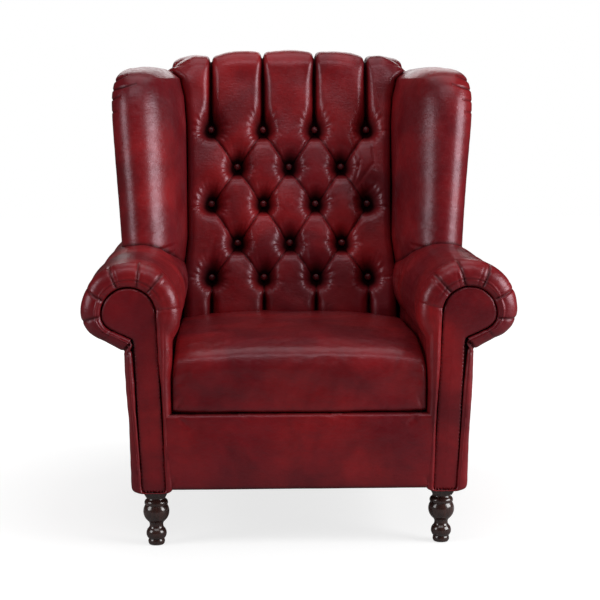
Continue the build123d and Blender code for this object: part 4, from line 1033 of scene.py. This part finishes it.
def makeOutsideBack():
    foot, straightTop, top = rearPanel["foot"], rearPanel["straightTop"], rearPanel["top"]
    z = np.concatenate([np.linspace(foot, straightTop, 100), np.linspace(straightTop, top, 24)[1:]])[:, None]
    half = np.interp(z, *rearPanel["widths"]) - rearPanel["edgeGap"]
    # past the corners' start the width draws in along a quarter ellipse
    corner = np.clip((z - rearPanel["cornerFrom"]) / rearPanel["cornerRise"], 0, 1)
    drawn = rearPanel["cornerDraw"] * (1 - np.sqrt(1 - corner ** 2))
    half = np.where(corner > 0, rearPanel["cornerHalf"] - drawn, half)
    x, zz, rim = panelFace(z, half, rearPanel["across"])
    pull = 1.2 * lumps(x, zz, 230, 81) + 0.4 * lumps(x, zz, 40, 82)
    rise = rearPanel["rimRise"] * (1 - quarterRound(rim / rearPanel["rim"]))
    y = rearAt(zz) - 1 + rise + pull * np.clip(rim / 60, 0, 1)
    front = np.stack([x, y, zz], -1)
    rear = panelRear(z, half, rearAt(z) - rearPanel["thick"])
    # painted shade along the rims
    return panelMesh("outsideBack", 1, front, rear, 0.6 * np.exp(-rim / 2.5), 0)


dress(makeApron(), "front_apron", fill=0.6)
for side, name in sides:
    dress(makeOutsideArm(side), "outside_arm_" + name, fill=0.5)
dress(makeOutsideBack(), "outside_back", fill=0.5)
print("panels made")

# Stage, light and camera

studio = {
    "worldTint": (1, 0.98, 0.97, 1), "worldStrength": 0.035, "floorHalf": 9,
    "floorGrey": (0.34, 0.34, 0.34, 1),
    # the floor's own light to the camera: from and to these metres out, between these strengths
    "glow": (0.55, 1.5, 0.76, 1.0), "lens": 96.456, "sensor": 36,
    "cameraPlace": (-0.137, -3.757, 0.955), "cameraTilt": 7.2, "cameraTurn": -2.35,
}

# the camera sees a white world, which lights the chair only a little
world = bpy.data.worlds.new("studio")
bpy.context.scene.world = world
world.use_nodes = True
tree = world.node_tree
tree.nodes.clear()
ray = tree.nodes.new("ShaderNodeLightPath")
seen = mathNode(tree, "ADD", ray.outputs["Is Camera Ray"], ray.outputs["Is Transmission Ray"], True)
white = addNode(tree, "ShaderNodeBackground", {"Color": (1, 1, 1, 1), "Strength": 1.0}).outputs[0]
dimmed = {"Color": studio["worldTint"], "Strength": studio["worldStrength"]}
dim = addNode(tree, "ShaderNodeBackground", dimmed).outputs[0]
blended = addNode(tree, "ShaderNodeMixShader", {0: seen, 1: dim, 2: white}).outputs[0]
addNode(tree, "ShaderNodeOutputWorld", {0: blended})


def makeFloor():
    # a grey floor that takes the shadow and glows white to the camera, fully so away from the chair
    mesh = bpy.data.meshes.new("floor")
    e = studio["floorHalf"]
    mesh.from_pydata([(-e, -e, 0), (e, -e, 0), (e, e, 0), (-e, e, 0)], [], [(0, 1, 2, 3)])
    floor = bpy.data.objects.new("floor", mesh)
    bpy.context.scene.collection.objects.link(floor)
    material, floorTree, shader = newMaterial("paleFloor")
    place = {0: objectPlace(floorTree)}
    reach = addNode(floorTree, "ShaderNodeVectorMath", place, operation="LENGTH").outputs["Value"]
    far = stretchRange(floorTree, reach, *studio["glow"])
    cameraRay = floorTree.nodes.new("ShaderNodeLightPath").outputs["Is Camera Ray"]
    feed(floorTree, shader, {
        "Base Color": studio["floorGrey"], "Roughness": 0.9, "Specular IOR Level": 0.0,
        "Emission Color": (1, 1, 1, 1),
        "Emission Strength": mathNode(floorTree, "MULTIPLY", cameraRay, far),
    })
    mesh.materials.append(material)


makeFloor()

lamps = {
    # name: place, aim, size, watts
    "softboxLeft": ((-2.95, -1.4, 1.5), (0, 0, 0.65), (1.4, 1.7), 38),
    "softboxRight": ((2.95, -1.3, 1.5), (0, 0, 0.65), (2.2, 1.8), 106),
    "overhead": ((0, 0.4, 3.1), (0, -0.1, 0.6), (2.6, 1.6), 17),
    "frontFill": ((0, -2.2, 3.8), (0, 0, 0.6), (3.6, 1.3), 37),
    "rearFill": ((0, 3.0, 2.2), (0, 0, 0.6), (2.4, 1.2), 22),
}
for name, (place, aim, size, watts) in lamps.items():
    light = bpy.data.lights.new(name, "AREA")
    light.shape = "RECTANGLE"
    light.size, light.size_y = size
    light.energy = watts
    lamp = bpy.data.objects.new(name, light)
    lamp.location = place
    # a lamp shines down its own -Z: tilted from straight down, then turned towards its aim
    direction = np.array(aim) - np.array(place)
    tilt = math.acos(-direction[2] / np.linalg.norm(direction))
    lamp.rotation_euler = (tilt, 0, math.atan2(direction[1], direction[0]) - math.pi / 2)
    bpy.context.scene.collection.objects.link(lamp)

camera = bpy.data.objects.new("camera", bpy.data.cameras.new("camera"))
bpy.context.scene.collection.objects.link(camera)
camera.data.sensor_width = studio["sensor"]
camera.data.lens = studio["lens"]
camera.location = studio["cameraPlace"]
camera.rotation_euler = (math.radians(90 - studio["cameraTilt"]), 0, math.radians(studio["cameraTurn"]))
bpy.context.scene.camera = camera
bpy.context.scene.view_settings.view_transform = "Standard"
print("stage and lights set")
